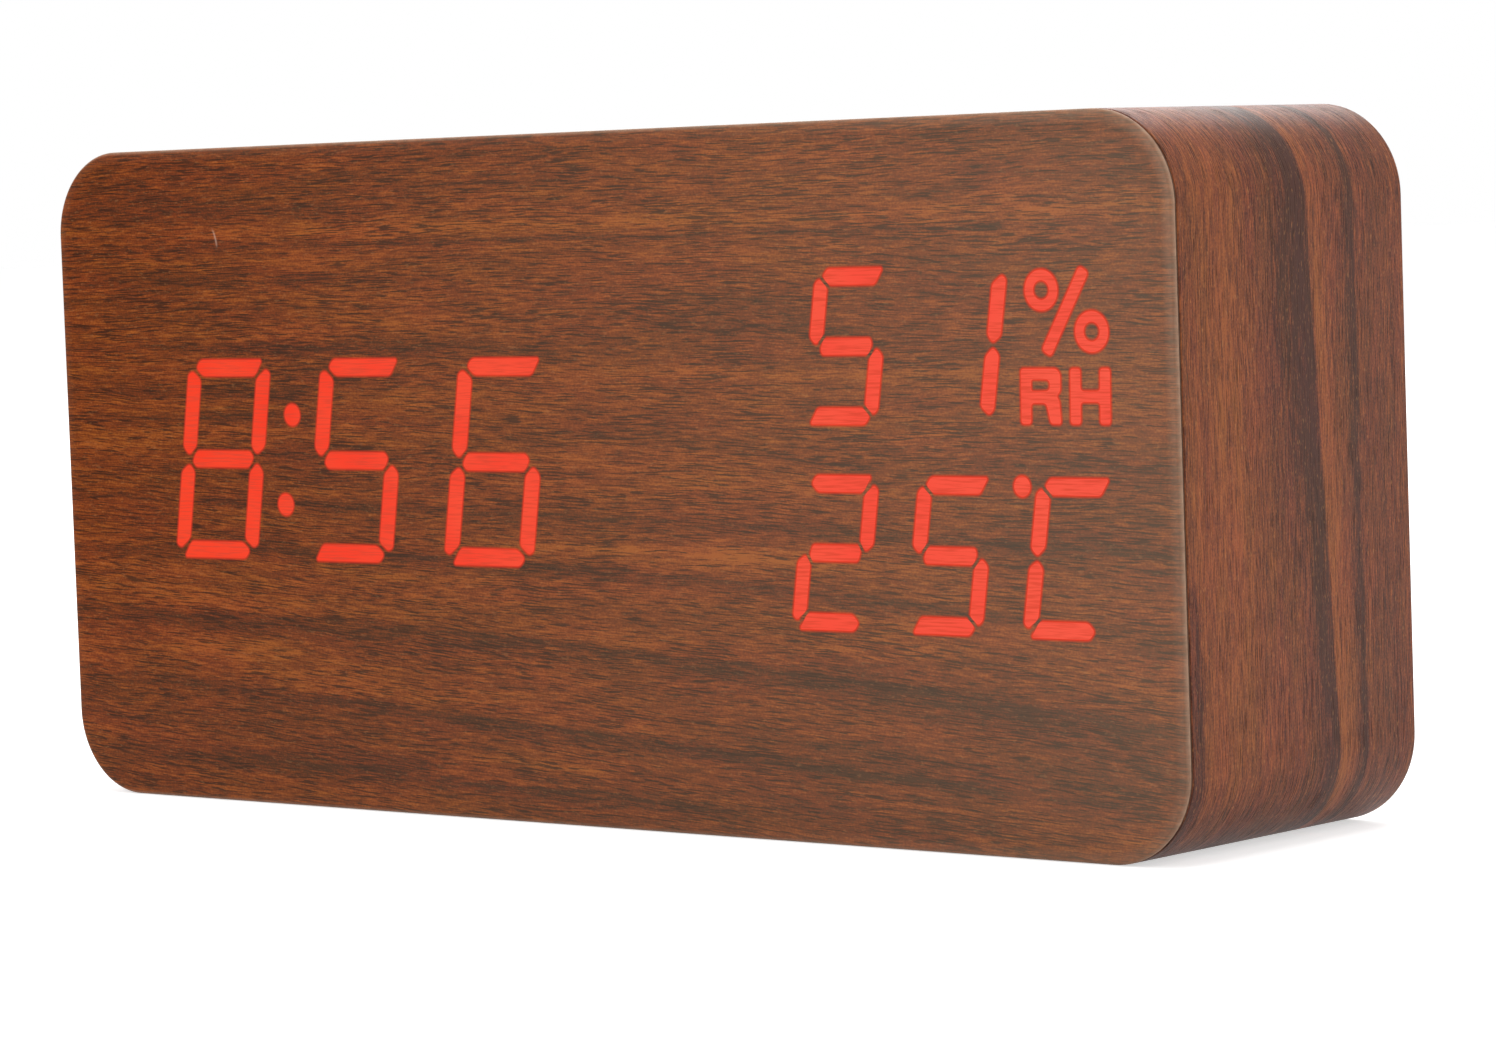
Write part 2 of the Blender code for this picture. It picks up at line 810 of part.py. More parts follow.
def make_chip():
    """The controller, with a row of leads along each long side."""
    middle = Vector((chip_left_x() + chip_length / 2, 0, chip_middle_z))
    half = Vector((chip_length / 2, 0, chip_width / 2))
    low = middle - half + Vector((0, mounted_y, 0))
    high = middle + half + Vector((0, mounted_y + chip_height, 0))
    chip = add_part("controller_chip", box(low, high), "chip_epoxy")
    pitch = chip_length / chip_lead_count
    leads = []
    for i in range(chip_lead_count):
        x = low.x + pitch * (i + 0.5)
        leads.append(box((x - chip_lead_width / 2, mounted_y, low.z - chip_lead_reach),
                         (x + chip_lead_width / 2, mounted_y + chip_lead_height, high.z + chip_lead_reach)))
    join(chip, "leads", joined(leads))


def make_crystal():
    left = chip_left_x() + chip_length + crystal_clearance
    low = (left, mounted_y, chip_middle_z - crystal_width / 2)
    high = (left + crystal_length, mounted_y + crystal_height, chip_middle_z + crystal_width / 2)
    can = rounded_box(low, high, crystal_width * crystal_round_share, small_steps)
    add_part("quartz_crystal", can, "plated_steel")


# Screws

def add_screw(name, place, head_y, facing, radius, head_radius, head_height, length):
    """A pan-head screw along Y. head_y is the underside of its head, and facing is 1 where the head
    looks along +Y."""
    dome = head_height * screw_dome_share
    profile = [
        (0, head_height),
        (head_radius * screw_crown_share, head_height),
        (head_radius, head_height - dome),
        (head_radius, 0),
        (radius, 0),
        (radius, -length + radius),
        (0, -length),
    ]
    x, z = place
    screw = add_turned(name, profile, "screw_steel", (x, head_y, z), (0, facing, 0), screw_sides)
    long = head_radius * screw_slot_length_share / 2
    wide = head_radius * screw_slot_width_share / 2
    low_y, high_y = sorted((head_y + facing * head_height * (1 - screw_slot_depth_share),
                            head_y + facing * (head_height + cut_over)))
    cut(screw, "slot", box((x - long, low_y, z - wide), (x + long, high_y, z + wide)))
    cut(screw, "cross_slot", box((x - wide, low_y, z - long), (x + wide, high_y, z + long)))


def make_screws():
    for number, place in enumerate(display_screw_places(), 1):
        add_screw(f"display_screw_{number}", place, mounted_y, 1, display_screw_radius,
                  display_screw_head_radius, display_screw_head_height, display_screw_length)
    head_y = cover_outer_y - counterbore_depth + seat_gap
    places = [(side * cover_screw_x, z) for side in (-1, 1) for z in (cover_screw_low_z, cover_screw_high_z)]
    for number, place in enumerate(places, 1):
        add_screw(f"cover_screw_{number}", place, head_y, 1, cover_screw_radius,
                  cover_screw_head_radius, cover_screw_head_height, cover_screw_length)
    for number, x in enumerate(boss_x, 1):
        add_screw(f"key_board_screw_{number}", (x, boss_z), key_board_front_y - seat_gap, -1,
                  key_screw_radius, key_screw_head_radius, key_screw_head_height, key_screw_length)


# Rear cover

def bay_cell_z(index):
    """Height of a cell's axis: index 0 is the top cell."""
    return bay_middle_z + cell_pitch * ((cell_count - 1) / 2 - index)


def plate_places():
    """Name, side (-1 left, 1 right) and the cells that each contact plate serves."""
    return (("contact_plus", 1, (0,)), ("contact_right_bridge", 1, (1, 2)),
            ("contact_left_bridge", -1, (0, 1)), ("contact_minus", -1, (2,)))


def plate_span(side, cells, extra):
    """Low and high corners of a contact plate, grown by extra on its edges and its back."""
    heights = [bay_cell_z(i) for i in cells]
    wall_x = bay_right_x if side > 0 else bay_left_x
    back_x = wall_x + side * (plate_thickness + extra)
    low = (min(wall_x, back_x), cell_y - plate_below - extra, min(heights) - plate_width / 2 - extra)
    high = (max(wall_x, back_x), cell_y + plate_above + extra, max(heights) + plate_width / 2 + extra)
    return Vector(low), Vector(high)


def tail_span(side, cells, extra):
    """The solder tail of a single-cell plate, which runs out through the floor of the bay."""
    low, high = plate_span(side, cells, extra)
    middle_z = bay_cell_z(cells[0])
    half = tail_width / 2 + extra
    return (Vector((low.x, bay_front_y - tail_reach, middle_z - half)),
            Vector((high.x, cell_y, middle_z + half)))


def tab_places():
    return (bay_middle_z - tab_offset, bay_middle_z + tab_offset)


def make_rear_cover():
    panel = case_slice(cavity_inset + seat_gap, cover_inner_y, cover_outer_y)
    cover = add_part("rear_cover", panel, "black_moulding")
    sunk_y = cover_inner_y + cover_thickness / 2
    outer_low = (bay_left_x - bay_wall, bay_front_y, bay_middle_z - bay_half_z - bay_wall)
    outer_high = (bay_right_x + bay_wall, sunk_y, bay_middle_z + bay_half_z + bay_wall)
    join(cover, "bay", rounded_box(outer_low, outer_high, bay_corner, small_steps))
    join(cover, "bosses", joined([cylinder((x, boss_z), boss_radius, cover_inner_y - boss_length, sunk_y,
                                           screw_sides) for x in boss_x]))
    cut_bay(cover)
    cut_door_seats(cover)
    cut_cover_holes(cover)


def cut_bay(cover):
    """The room for the cells, its troughs, and the slots for the contact plates."""
    inner_low = (bay_left_x, cell_y - ridge_drop, bay_middle_z - bay_half_z)
    inner_high = (bay_right_x, cover_outer_y + cut_over, bay_middle_z + bay_half_z)
    cut(cover, "bay_room", box(inner_low, inner_high))
    troughs = []
    along_x = Matrix.Rotation(math.radians(-90), 4, "Z")
    for index in range(cell_count):
        trough = cylinder((0, 0), trough_radius, bay_left_x + trough_end_inset,
                          bay_right_x - trough_end_inset, trough_sides)
        trough.transform(Matrix.Translation((0, cell_y, bay_cell_z(index))) @ along_x)
        troughs.append(trough)
    cut(cover, "troughs", joined(troughs))
    for name, side, cells in plate_places():
        low, high = plate_span(side, cells, seat_gap)
        inward = -side * cut_over
        low.x, high.x = min(low.x, low.x + inward), max(high.x, high.x + inward)
        high.y = bay_top_y + cut_over
        cut(cover, name + "_slot", box(low, high))
        if len(cells) == 1:
            low, high = tail_span(side, cells, seat_gap)
            low.y = bay_front_y - cut_over
            cut(cover, name + "_tail_slot", box(low, high))


def cut_door_seats(cover):
    """The door's opening and ledge, the pockets for its tabs and the room for its catch."""
    low = (opening_left_x, bay_top_y, bay_middle_z - opening_half_z)
    high = (opening_right_x, cover_outer_y + cut_over, bay_middle_z + opening_half_z)
    cut(cover, "door_opening", rounded_box(low, high, door_corner + seat_gap, small_steps))
    pockets = []
    for z in tab_places():
        half = tab_width / 2 + seat_gap
        pockets.append(box((bay_left_x - bay_wall - cut_over, cover_outer_y - tab_sweep - seat_gap, z - half),
                           (bay_left_x + cut_over, cover_inner_y + tab_pocket_relief, z + half)))
    cut(cover, "tab_pockets", joined(pockets))
    half = tongue_width / 2 + seat_gap
    catch_low_y = door_inner_y - catch_depth - seat_gap
    cut(cover, "catch_room", box((bay_right_x - cut_over, catch_low_y, bay_middle_z - half),
                                 (opening_right_x, bay_top_y + cut_over, bay_middle_z + half)))


def cut_cover_holes(cover):
    """Holes for the screws, buttons and socket, and the slots for sound and air."""
    corners = [(side * cover_screw_x, z) for side in (-1, 1) for z in (cover_screw_low_z, cover_screw_high_z)]
    through = (cover_inner_y - cut_over, cover_outer_y + cut_over)
    sink_y = cover_outer_y - counterbore_depth
    cut(cover, "screw_holes", joined([stepped_hole(place, cover_screw_radius + seat_gap,
                                                   cover_screw_head_radius + seat_gap,
                                                   through[0], sink_y, through[1]) for place in corners]))
    cut(cover, "boss_pilots", joined([cylinder((x, boss_z), key_screw_radius + seat_gap,
                                               cover_inner_y - boss_length - cut_over,
                                               key_board_front_y - seat_gap + key_screw_length + seat_gap,
                                               screw_sides) for x in boss_x]))
    hole_radius = button_radius + seat_gap
    cut(cover, "button_holes", joined([cylinder((x, button_z), hole_radius, *through, button_sides)
                                       for x in button_middle_x]))
    cut(cover, "socket_hole", cylinder((socket_x, low_row_z), socket_nose_radius + seat_gap, *through,
                                       button_sides))
    cut(cover, "sound_slots", joined(sound_slots(*through)))
    cut(cover, "air_slots", joined(air_slots(*through)))


def slot(middle, width, height, low_y, high_y):
    low = (middle[0] - width / 2, low_y, middle[1] - height / 2)
    high = (middle[0] + width / 2, high_y, middle[1] + height / 2)
    return rounded_box(low, high, width * slot_corner_share, small_steps)


def sound_slots(low_y, high_y):
    """Upright slots over the buzzer, whose ends lie on a circle."""
    made = []
    for index in range(sound_slot_count):
        offset = (index - (sound_slot_count - 1) / 2) * slot_pitch
        height = 2 * math.sqrt(sound_slot_circle ** 2 - offset ** 2)
        made.append(slot((buzzer_x + offset, low_row_z), slot_width, height, low_y, high_y))
    return made


def air_slots(low_y, high_y):
    made = []
    for index in range(air_slot_count):
        offset = (index - (air_slot_count - 1) / 2) * slot_pitch
        made.append(slot((sensor_x + offset, low_row_z), slot_width, air_slot_height, low_y, high_y))
    return made


# Battery door, cells and contacts

def make_battery_door():
    """The door turns on the upright line where its tabbed edge meets the cover's face."""
    low = (door_left_x, door_inner_y, bay_middle_z - door_half_z)
    high = (door_right_x, cover_outer_y, bay_middle_z + door_half_z)
    door = add_part("battery_door", rounded_box(low, high, door_corner, small_steps), "black_moulding",
                    (door_left_x, cover_outer_y, bay_middle_z))
    sunk_y = door_inner_y + door_thickness / 2
    inset = tab_leg * tab_leg_inset_share
    tabs, legs = [], []
    for z in tab_places():
        tabs.append(box((door_left_x - tab_reach, tab_low_y, z - tab_width / 2),
                        (door_left_x + tab_leg, tab_top_y, z + tab_width / 2)))
        legs.append(box((door_left_x + inset, (tab_low_y + tab_top_y) / 2, z - tab_width / 2 + inset),
                        (door_left_x + tab_leg - inset, sunk_y, z + tab_width / 2 - inset)))
    join(door, "tab_legs", joined(legs))
    join(door, "tabs", joined(tabs))
    half = tongue_width / 2
    slits = []
    for side in (-1, 1):
        z = bay_middle_z + side * half
        slits.append(box((door_right_x - tongue_length, door_inner_y - cut_over, z - tongue_slit / 2),
                         (door_right_x + cut_over, cover_outer_y + cut_over, z + tongue_slit / 2)))
    cut(door, "tongue_slits", joined(slits))
    catch_half = half - tongue_slit
    catch_y = door_inner_y - catch_depth
    join(door, "catch", box((door_right_x - catch_thickness, catch_y, bay_middle_z - catch_half),
                            (door_right_x, sunk_y, bay_middle_z + catch_half)))
    join(door, "grips", joined(grip_ribs(catch_half - grip_inset)))


def grip_ribs(half_length):
    ribs = []
    for index in range(grip_count):
        x = door_right_x - grip_inset - index * grip_pitch
        ribs.append(box((x - grip_width, cover_outer_y - door_thickness / 2, bay_middle_z - half_length),
                        (x, cover_outer_y + grip_height, bay_middle_z + half_length)))
    return ribs


def make_cells():
    """Three cells in series, the middle one turned end for end."""
    for index in range(cell_count):
        side = -1 if index % 2 else 1
        nub_x = (bay_right_x - seat_gap) if side > 0 else (bay_left_x + seat_gap)
        shoulder = -nub_length
        rim = cell_radius * cell_rim_share
        profile = [
            (0, 0),
            (nub_radius, 0),
            (nub_radius, shoulder),
            (rim, shoulder),
            (cell_radius, shoulder - cell_rim_length),
            (cell_radius, -cell_length + cell_rim_length),
            (rim, -cell_length),
            (0, -cell_length),
        ]
        add_turned(f"battery_cell_{index + 1}", profile, "cell_sleeve", (nub_x, cell_y, bay_cell_z(index)),
                   (side, 0, 0), cell_sides)


def make_contact_plates():
    for name, side, cells in plate_places():
        plate = add_part(name, box(*plate_span(side, cells, 0)), "plated_steel")
        if len(cells) == 1:
            join(plate, "tail", box(*tail_span(side, cells, 0)))


def make_cell_springs():
    """Conical springs that press on the flat ends of the cells, widest at the plate."""
    for index in range(cell_count):
        side = 1 if index % 2 else -1
        plate_x = bay_right_x if side > 0 else bay_left_x
        base_x = plate_x - side * (seat_gap + spring_wire / 2)
        rise = spring_length - spring_wire
        points = []
        count = spring_turns * spring_turn_points
        for step in range(count + 1):
            share = step / count
            turn = 2 * math.pi * spring_turns * share
            radius = spring_base_radius + (spring_tip_radius - spring_base_radius) * share
            points.append(Vector((base_x - side * rise * share, cell_y + radius * math.cos(turn),
                                  bay_cell_z(index) + radius * math.sin(turn))))
        add_tube(f"cell_spring_{index + 1}", points, spring_wire / 2, "plated_steel", 1)
        print(f"cell_spring_{index + 1}: least gap to itself {least_gap(points) * 1000:.2f} mm")


def least_gap(points):
    """The least clear distance between turns: pairs of points at least half a turn apart."""
    apart = spring_turn_points // 2
    count = len(points)
    least = min((points[i] - points[j]).length for i in range(count) for j in range(i + apart, count))
    return least - spring_wire


# Controls

def make_key_board():
    low = (key_board_left, key_board_front_y, key_board_bottom)
    high = (key_board_right, key_board_back_y, key_board_top)
    board = add_part("key_board", rounded_box(low, high, key_board_corner, small_steps), "circuit_board")
    cut(board, "screw_holes", joined([cylinder((x, boss_z), key_screw_radius + seat_gap,
                                               key_board_front_y - cut_over, key_board_back_y + cut_over,
                                               screw_sides) for x in boss_x]))


def make_buttons():
    """Each button, its switch and the plunger between them. The button's origin is on its line of travel."""
    half = switch_size / 2
    length = plunger_back_y - plunger_front_y
    for number, (name, x) in enumerate(zip(button_names, button_middle_x), 1):
        block = rounded_box((x - half, key_mounted_y, button_z - half),
                            (x + half, switch_top_y, button_z + half), switch_corner, small_steps)
        body = add_part(f"switch_body_{number}", block, "switch_plastic")
        cut(body, "plunger_bore", cylinder((x, button_z), plunger_radius + seat_gap,
                                           key_mounted_y + switch_floor, switch_top_y + cut_over,
                                           screw_sides))
        plunger = [(0, 0), (plunger_radius, 0), (plunger_radius, -length), (0, -length)]
        add_turned(f"switch_plunger_{number}", plunger, "switch_plunger", (x, plunger_back_y, button_z),
                   (0, 1, 0), screw_sides)
        top = cover_outer_y + button_rise - button_flange_back_y
        cap = [
            (0, top),
            (button_radius * button_crown_share, top - button_dome * button_crown_drop_share),
            (button_radius - button_dome, top - button_dome),
            (button_radius, top - 2 * button_dome),
            (button_radius, 0),
            (button_flange_radius, 0),
            (button_flange_radius, -button_flange_thickness),
            (0, -button_flange_thickness),
        ]
        add_turned(name, cap, "black_moulding", (x, button_flange_back_y, button_z), (0, 1, 0), button_sides)


def make_power_socket():
    """The low-voltage inlet: a square body, a round nose in the cover's hole, a bore and its pin."""
    half = socket_size / 2
    socket = add_part("power_socket", box((socket_x - half, key_mounted_y, low_row_z - half),
                                          (socket_x + half, socket_body_back_y, low_row_z + half)),
                      "black_moulding")
    middle = (socket_x, low_row_z)
    sunk_y = (key_mounted_y + socket_body_back_y) / 2
    join(socket, "nose", cylinder(middle, socket_nose_radius, sunk_y, socket_face_y, button_sides))
    bore_end_y = socket_face_y - socket_bore_depth
    cut(socket, "bore", cylinder(middle, socket_bore_radius, bore_end_y, socket_face_y + cut_over,
                                 screw_sides))
    join(socket, "pin", cylinder(middle, socket_pin_radius, bore_end_y - socket_pin_inset,
                                 socket_face_y - socket_pin_inset, screw_sides // 2))


def make_buzzer():
    profile = [
        (0, buzzer_height - buzzer_hole_depth),
        (buzzer_hole_radius, buzzer_height - buzzer_hole_depth),
        (buzzer_hole_radius, buzzer_height),
        (buzzer_radius, buzzer_height),
        (buzzer_radius, 0),
        (0, 0),
    ]
    place = (buzzer_x, key_mounted_y, low_row_z)
    add_turned("buzzer", profile, "black_moulding", place, (0, 1, 0), button_sides)


def make_climate_sensor():
    low = (sensor_x - sensor_length / 2, key_mounted_y, low_row_z - sensor_width / 2)
    high = (sensor_x + sensor_length / 2, key_mounted_y + sensor_height, low_row_z + sensor_width / 2)
    sensor = add_part("climate_sensor", box(low, high), "socket_white")
    cut(sensor, "port", cylinder((sensor_x, low_row_z), sensor_port_radius, high[1] - sensor_port_depth,
                                 high[1] + cut_over, screw_sides))


# Wiring

def make_ribbon():
    """A flat cable that folds back between a socket on each board."""
    half_x = ribbon_socket_length / 2
    half_z = ribbon_socket_width / 2
    front_socket = ((ribbon_socket_x - half_x, mounted_y, ribbon_socket_z - half_z),
                    (ribbon_socket_x + half_x, mounted_y + ribbon_socket_height, ribbon_socket_z + half_z))
    back_y = key_board_front_y - seat_gap
    rear_socket = ((ribbon_socket_x - half_x, back_y - ribbon_socket_height, ribbon_socket_z - half_z),
                   (ribbon_socket_x + half_x, back_y, ribbon_socket_z + half_z))
    add_part("ribbon_socket_1", box(*front_socket), "socket_white")
    add_part("ribbon_socket_2", box(*rear_socket), "socket_white")
    start_y = mounted_y + ribbon_socket_height / 2
    end_y = back_y - ribbon_socket_height / 2
    bend = (end_y - start_y) / 2
    start_x = ribbon_socket_x + half_x + seat_gap
    path = [Vector((start_x, start_y))]
    for step in range(ribbon_steps + 1):
        turn = math.pi * step / ribbon_steps
        path.append(Vector((start_x + ribbon_run + bend * math.sin(turn),
                            start_y + bend * (1 - math.cos(turn)))))
    path.append(Vector((start_x, end_y)))
    strip = bmesh.new()
    low_z = ribbon_socket_z - ribbon_width / 2
    line = [strip.verts.new((p.x, p.y, low_z)) for p in path]
    edges = [strip.edges.new(pair) for pair in zip(line, line[1:])]
    raised = bmesh.ops.extrude_edge_only(strip, edges=edges)["geom"]
    for vert in (v for v in raised if isinstance(v, bmesh.types.BMVert)):
        vert.co.z += ribbon_width
    ribbon = add_part("ribbon_cable", strip, "ribbon_film")
    wall = ribbon.modifiers.new("thickness", "SOLIDIFY")
    wall.thickness = ribbon_thickness
    wall.offset = 0


def smooth_route(points, spacing):
    """Points at even steps on a smooth curve through the route's own points."""
    ends = [points[0] * 2 - points[1], *points, points[-1] * 2 - points[-2]]
    fine = []
    for before, start, end, after in zip(ends, ends[1:], ends[2:], ends[3:]):
        for step in range(route_steps):
            t = step / route_steps
            square = 2 * before - 5 * start + 4 * end - after
            cube = 3 * start - before - 3 * end + after
            fine.append(start + ((end - before) * t + square * t ** 2 + cube * t ** 3) / 2)
    fine.append(points[-1])
    even = [fine[0]]
    for point in fine:
        if (point - even[-1]).length >= spacing:
            even.append(point)
    if (even[-1] - fine[-1]).length < spacing / 2:
        even.pop()
    return [*even, fine[-1]]


def make_battery_leads():
    """From the tails of the end contacts to the control board."""
    start_y = bay_front_y - tail_reach - seat_gap
    pad_x = key_board_right - lead_pad_inset
    for name, side, cells, way, pad_z, finish in (
        ("battery_lead_red", 1, (0,), red_way, key_board_top - red_pad_drop, "red_insulation"),
        ("battery_lead_black", -1, (2,), black_way, key_board_bottom + black_pad_rise, "black_insulation"),
    ):
        low, high = tail_span(side, cells, 0)
        start = Vector(((low.x + high.x) / 2, start_y, (low.z + high.z) / 2))
        end = Vector((pad_x, key_board_front_y - seat_gap, pad_z))
        points = [start]
        for share, forward_share, rise in way:
            straight = start.lerp(end, share)
            room = (start.y - board_back_y) if forward_share > 0 else (end.y - start.y)
            points.append(Vector((straight.x, start.y - room * forward_share, straight.z + rise)))
        add_tube(name, smooth_route([*points, end], lead_spacing), lead_radius, finish, 2)


make_casing()
make_wrap()
make_front_sheet()
make_diffuser()
make_reflector()
make_display_board()
make_chip()
make_crystal()
make_screws()
make_rear_cover()
make_battery_door()
make_cells()
make_contact_plates()
make_cell_springs()
make_key_board()
make_buttons()
make_power_socket()
make_buzzer()
make_climate_sensor()
make_ribbon()
make_battery_leads()
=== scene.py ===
import json
import math

import bmesh
import bpy
from mathutils import Matrix, Vector
from mathutils.geometry import delaunay_2d_cdt


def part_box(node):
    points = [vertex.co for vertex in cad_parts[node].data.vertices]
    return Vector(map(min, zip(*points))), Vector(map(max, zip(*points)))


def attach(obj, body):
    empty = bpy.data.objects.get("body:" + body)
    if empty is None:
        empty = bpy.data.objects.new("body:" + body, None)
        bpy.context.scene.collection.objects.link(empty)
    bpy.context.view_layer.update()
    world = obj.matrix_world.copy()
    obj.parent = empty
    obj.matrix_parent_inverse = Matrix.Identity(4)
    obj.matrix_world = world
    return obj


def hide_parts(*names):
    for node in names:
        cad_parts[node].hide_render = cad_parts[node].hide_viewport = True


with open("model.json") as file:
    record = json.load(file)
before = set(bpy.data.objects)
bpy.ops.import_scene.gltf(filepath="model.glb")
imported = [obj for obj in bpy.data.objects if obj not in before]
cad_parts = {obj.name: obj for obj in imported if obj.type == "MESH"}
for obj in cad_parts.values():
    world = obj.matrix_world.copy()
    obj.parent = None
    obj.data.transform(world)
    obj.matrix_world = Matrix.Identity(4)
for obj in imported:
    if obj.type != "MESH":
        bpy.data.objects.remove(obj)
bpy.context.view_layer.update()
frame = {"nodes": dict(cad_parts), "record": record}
nodes = frame["nodes"]

metre = 1000  # in millimetres

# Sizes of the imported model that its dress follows, in metres

case_half_x = 0.075
case_height = 0.070
case_corner = 0.009
film_thickness = 0.0005
cell_middle_y = 0.01025
cell_middle_z = {1: 0.0463, 2: 0.0350, 3: 0.0237}
cover_screw_seat_y = 0.0167
cover_screw_spacing = (0.1314, 0.0539, 0.0)
inlet_shoulder_y = 0.0151

# Sizes that the dress adds, in metres, and the numbers of steps in its rounds

corner_steps = 24
front_film_round = 0.00042
front_film_steps = 5
front_film_rear_round = 0.00006
wrap_chamfer_in = 0.00014
wrap_chamfer_back = 0.00012
wrap_rear_round = 0.0005
wrap_rear_steps = 6
wrap_lip = 0.0043
wrap_lip_slope = 0.0002
mould_round = 0.00015
merge_distance = 0.000001
glow_reach = 0.00034
lit_trim = 0.00006
stroke_round = 0.00050
letter_round = 0.00040

# Colours that more than one material takes, in linear values, and the depth of the print, in metres

black = (0, 0, 0, 1)
white = (1, 1, 1, 1)
unlit_film = (0.03, 0.004, 0.002, 1)
mould_black = (0.013, 0.013, 0.014, 1)
print_relief = 0.00002


# Colours and shader trees

def from_screen(red, green, blue):
    """A colour as seen on a screen, each part from 0 to 255, in the linear values that shaders take."""
    parts = [part / 255 for part in (red, green, blue)]
    return (*[part / 12.92 if part < 0.04 else ((part + 0.055) / 1.055) ** 2.4 for part in parts], 1.0)


def feed(tree, socket, value):
    if isinstance(value, bpy.types.NodeSocket):
        tree.links.new(value, socket)
    else:
        socket.default_value = value


def add_node(tree, kind, inputs=(), **settings):
    made = tree.nodes.new(kind)
    for name, value in settings.items():
        setattr(made, name, value)
    for name, value in dict(inputs).items():
        feed(tree, made.inputs[name], value)
    return made


def add(tree, kind, inputs=(), **settings):
    """A shader node, by the short form of its kind."""
    return add_node(tree, "ShaderNode" + kind, inputs, **settings)


def maths(tree, operation, *values):
    made = add(tree, "Math", operation=operation)
    for socket, value in zip(made.inputs, values):
        feed(tree, socket, value)
    return made.outputs[0]


def noise(tree, where, scale, detail=2.0, roughness=0.5):
    made = add(tree, "TexNoise", {"Vector": where, "Scale": scale, "Detail": detail, "Roughness": roughness})
    return made.outputs[0]


def spread(tree, value, low, high, to_low=0.0, to_high=1.0):
    """The value from low to high, mapped to a new range and held at its ends."""
    made = add(tree, "MapRange", {"Value": value, "From Min": low, "From Max": high,
                                  "To Min": to_low, "To Max": to_high})
    return made.outputs[0]


def blended(tree, share, first, second, blend_type="MIX"):
    made = add(tree, "Mix", data_type="RGBA", blend_type=blend_type)
    feed(tree, made.inputs[0], share)
    feed(tree, made.inputs[6], first)
    feed(tree, made.inputs[7], second)
    return made.outputs[2]


def vector(tree, x, y, z=0.0):
    return add(tree, "CombineXYZ", {"X": x, "Y": y, "Z": z}).outputs[0]


def parts_of(tree, where):
    return add(tree, "SeparateXYZ", {"Vector": where}).outputs


def stretched(tree, where, x, y, z=1.0):
    """The place, scaled along each axis."""
    made = add(tree, "VectorMath", {0: where, 1: (x, y, z)}, operation="MULTIPLY")
    return made.outputs[0]


def object_place(tree):
    """The place on the object, in millimetres."""
    return stretched(tree, add(tree, "TexCoord").outputs["Object"], metre, metre, metre)


def figure(tree, where, length, width, detail=1.0, roughness=0.5, depth=1.0):
    """Noise from 0 to 1 whose marks have about this length along X and width along Y, in millimetres."""
    return noise(tree, stretched(tree, where, 1 / length, 1 / width, 1 / depth), 1.0, detail, roughness)


def from_middle(tree, value):
    """A value from 0 to 1, measured from 0.5."""
    return maths(tree, "SUBTRACT", value, 0.5)


def beyond(tree, value, half):
    """How far the value lies outside -half to half."""
    return maths(tree, "MAXIMUM", maths(tree, "SUBTRACT", maths(tree, "ABSOLUTE", value), half), 0.0)


def attribute(tree, name):
    return add(tree, "Attribute", attribute_name=name).outputs["Fac"]


def seen_ray(tree):
    """1 for a ray from the camera, a mirror or a clear body, and 0 for the light that falls on things."""
    paths = add(tree, "LightPath").outputs
    return maths(tree, "MAXIMUM", paths["Is Camera Ray"], maths(tree, "MAXIMUM", paths["Is Glossy Ray"],
                                                                paths["Is Transmission Ray"]))


def new_group(name, inputs, outputs, kind="ShaderNodeTree"):
    """An empty node group, what its named inputs give, and what its named outputs take."""
    group = bpy.data.node_groups.new(name, kind)
    for label, socket_kind, value in inputs:
        socket = group.interface.new_socket(label, in_out="INPUT", socket_type="NodeSocket" + socket_kind)
        if value is not None:
            socket.default_value = value
    for label, socket_kind in outputs:
        group.interface.new_socket(label, in_out="OUTPUT", socket_type="NodeSocket" + socket_kind)
    return group, group.nodes.new("NodeGroupInput").outputs, group.nodes.new("NodeGroupOutput").inputs


def use_group(tree, group, inputs):
    return add(tree, "Group", inputs, node_tree=group).outputs


# Effects that several materials share

streak_sizes = ("Middle X", "Middle Y", "Rise", "Bend", "Length", "Width Below", "Width Above")


def make_grain_streak():
    """One long soft streak of the figure: 1 on its line, falling to 0 at its sides and ends."""
    defaults = (0.0, 0.0, 0.0, 0.0, 40.0, 0.8, 0.8)
    group, take, give = new_group(
        "grain_streak",
        [("Place", "Vector", None)] + [(name, "Float", size) for name, size in zip(streak_sizes, defaults)],
        [("Mask", "Float")])
    x, y, _ = parts_of(group, take["Place"])
    along = maths(group, "SUBTRACT", x, take["Middle X"])
    line = maths(group, "MULTIPLY", along, maths(group, "MULTIPLY_ADD", along, take["Bend"], take["Rise"]))
    across = maths(group, "SUBTRACT", maths(group, "SUBTRACT", y, take["Middle Y"]), line)
    above = maths(group, "GREATER_THAN", across, 0.0)
    wider = maths(group, "SUBTRACT", take["Width Above"], take["Width Below"])
    width = maths(group, "MULTIPLY_ADD", above, wider, take["Width Below"])
    side = maths(group, "POWER", maths(group, "ABSOLUTE", maths(group, "DIVIDE", across, width)), 2.0)
    half = maths(group, "MULTIPLY", take["Length"], 0.5)
    end = maths(group, "POWER", maths(group, "ABSOLUTE", maths(group, "DIVIDE", along, half)), 4.0)
    fall = maths(group, "MULTIPLY", maths(group, "ADD", side, end), -1.0)
    group.links.new(maths(group, "POWER", math.e, fall), give["Mask"])
    return group


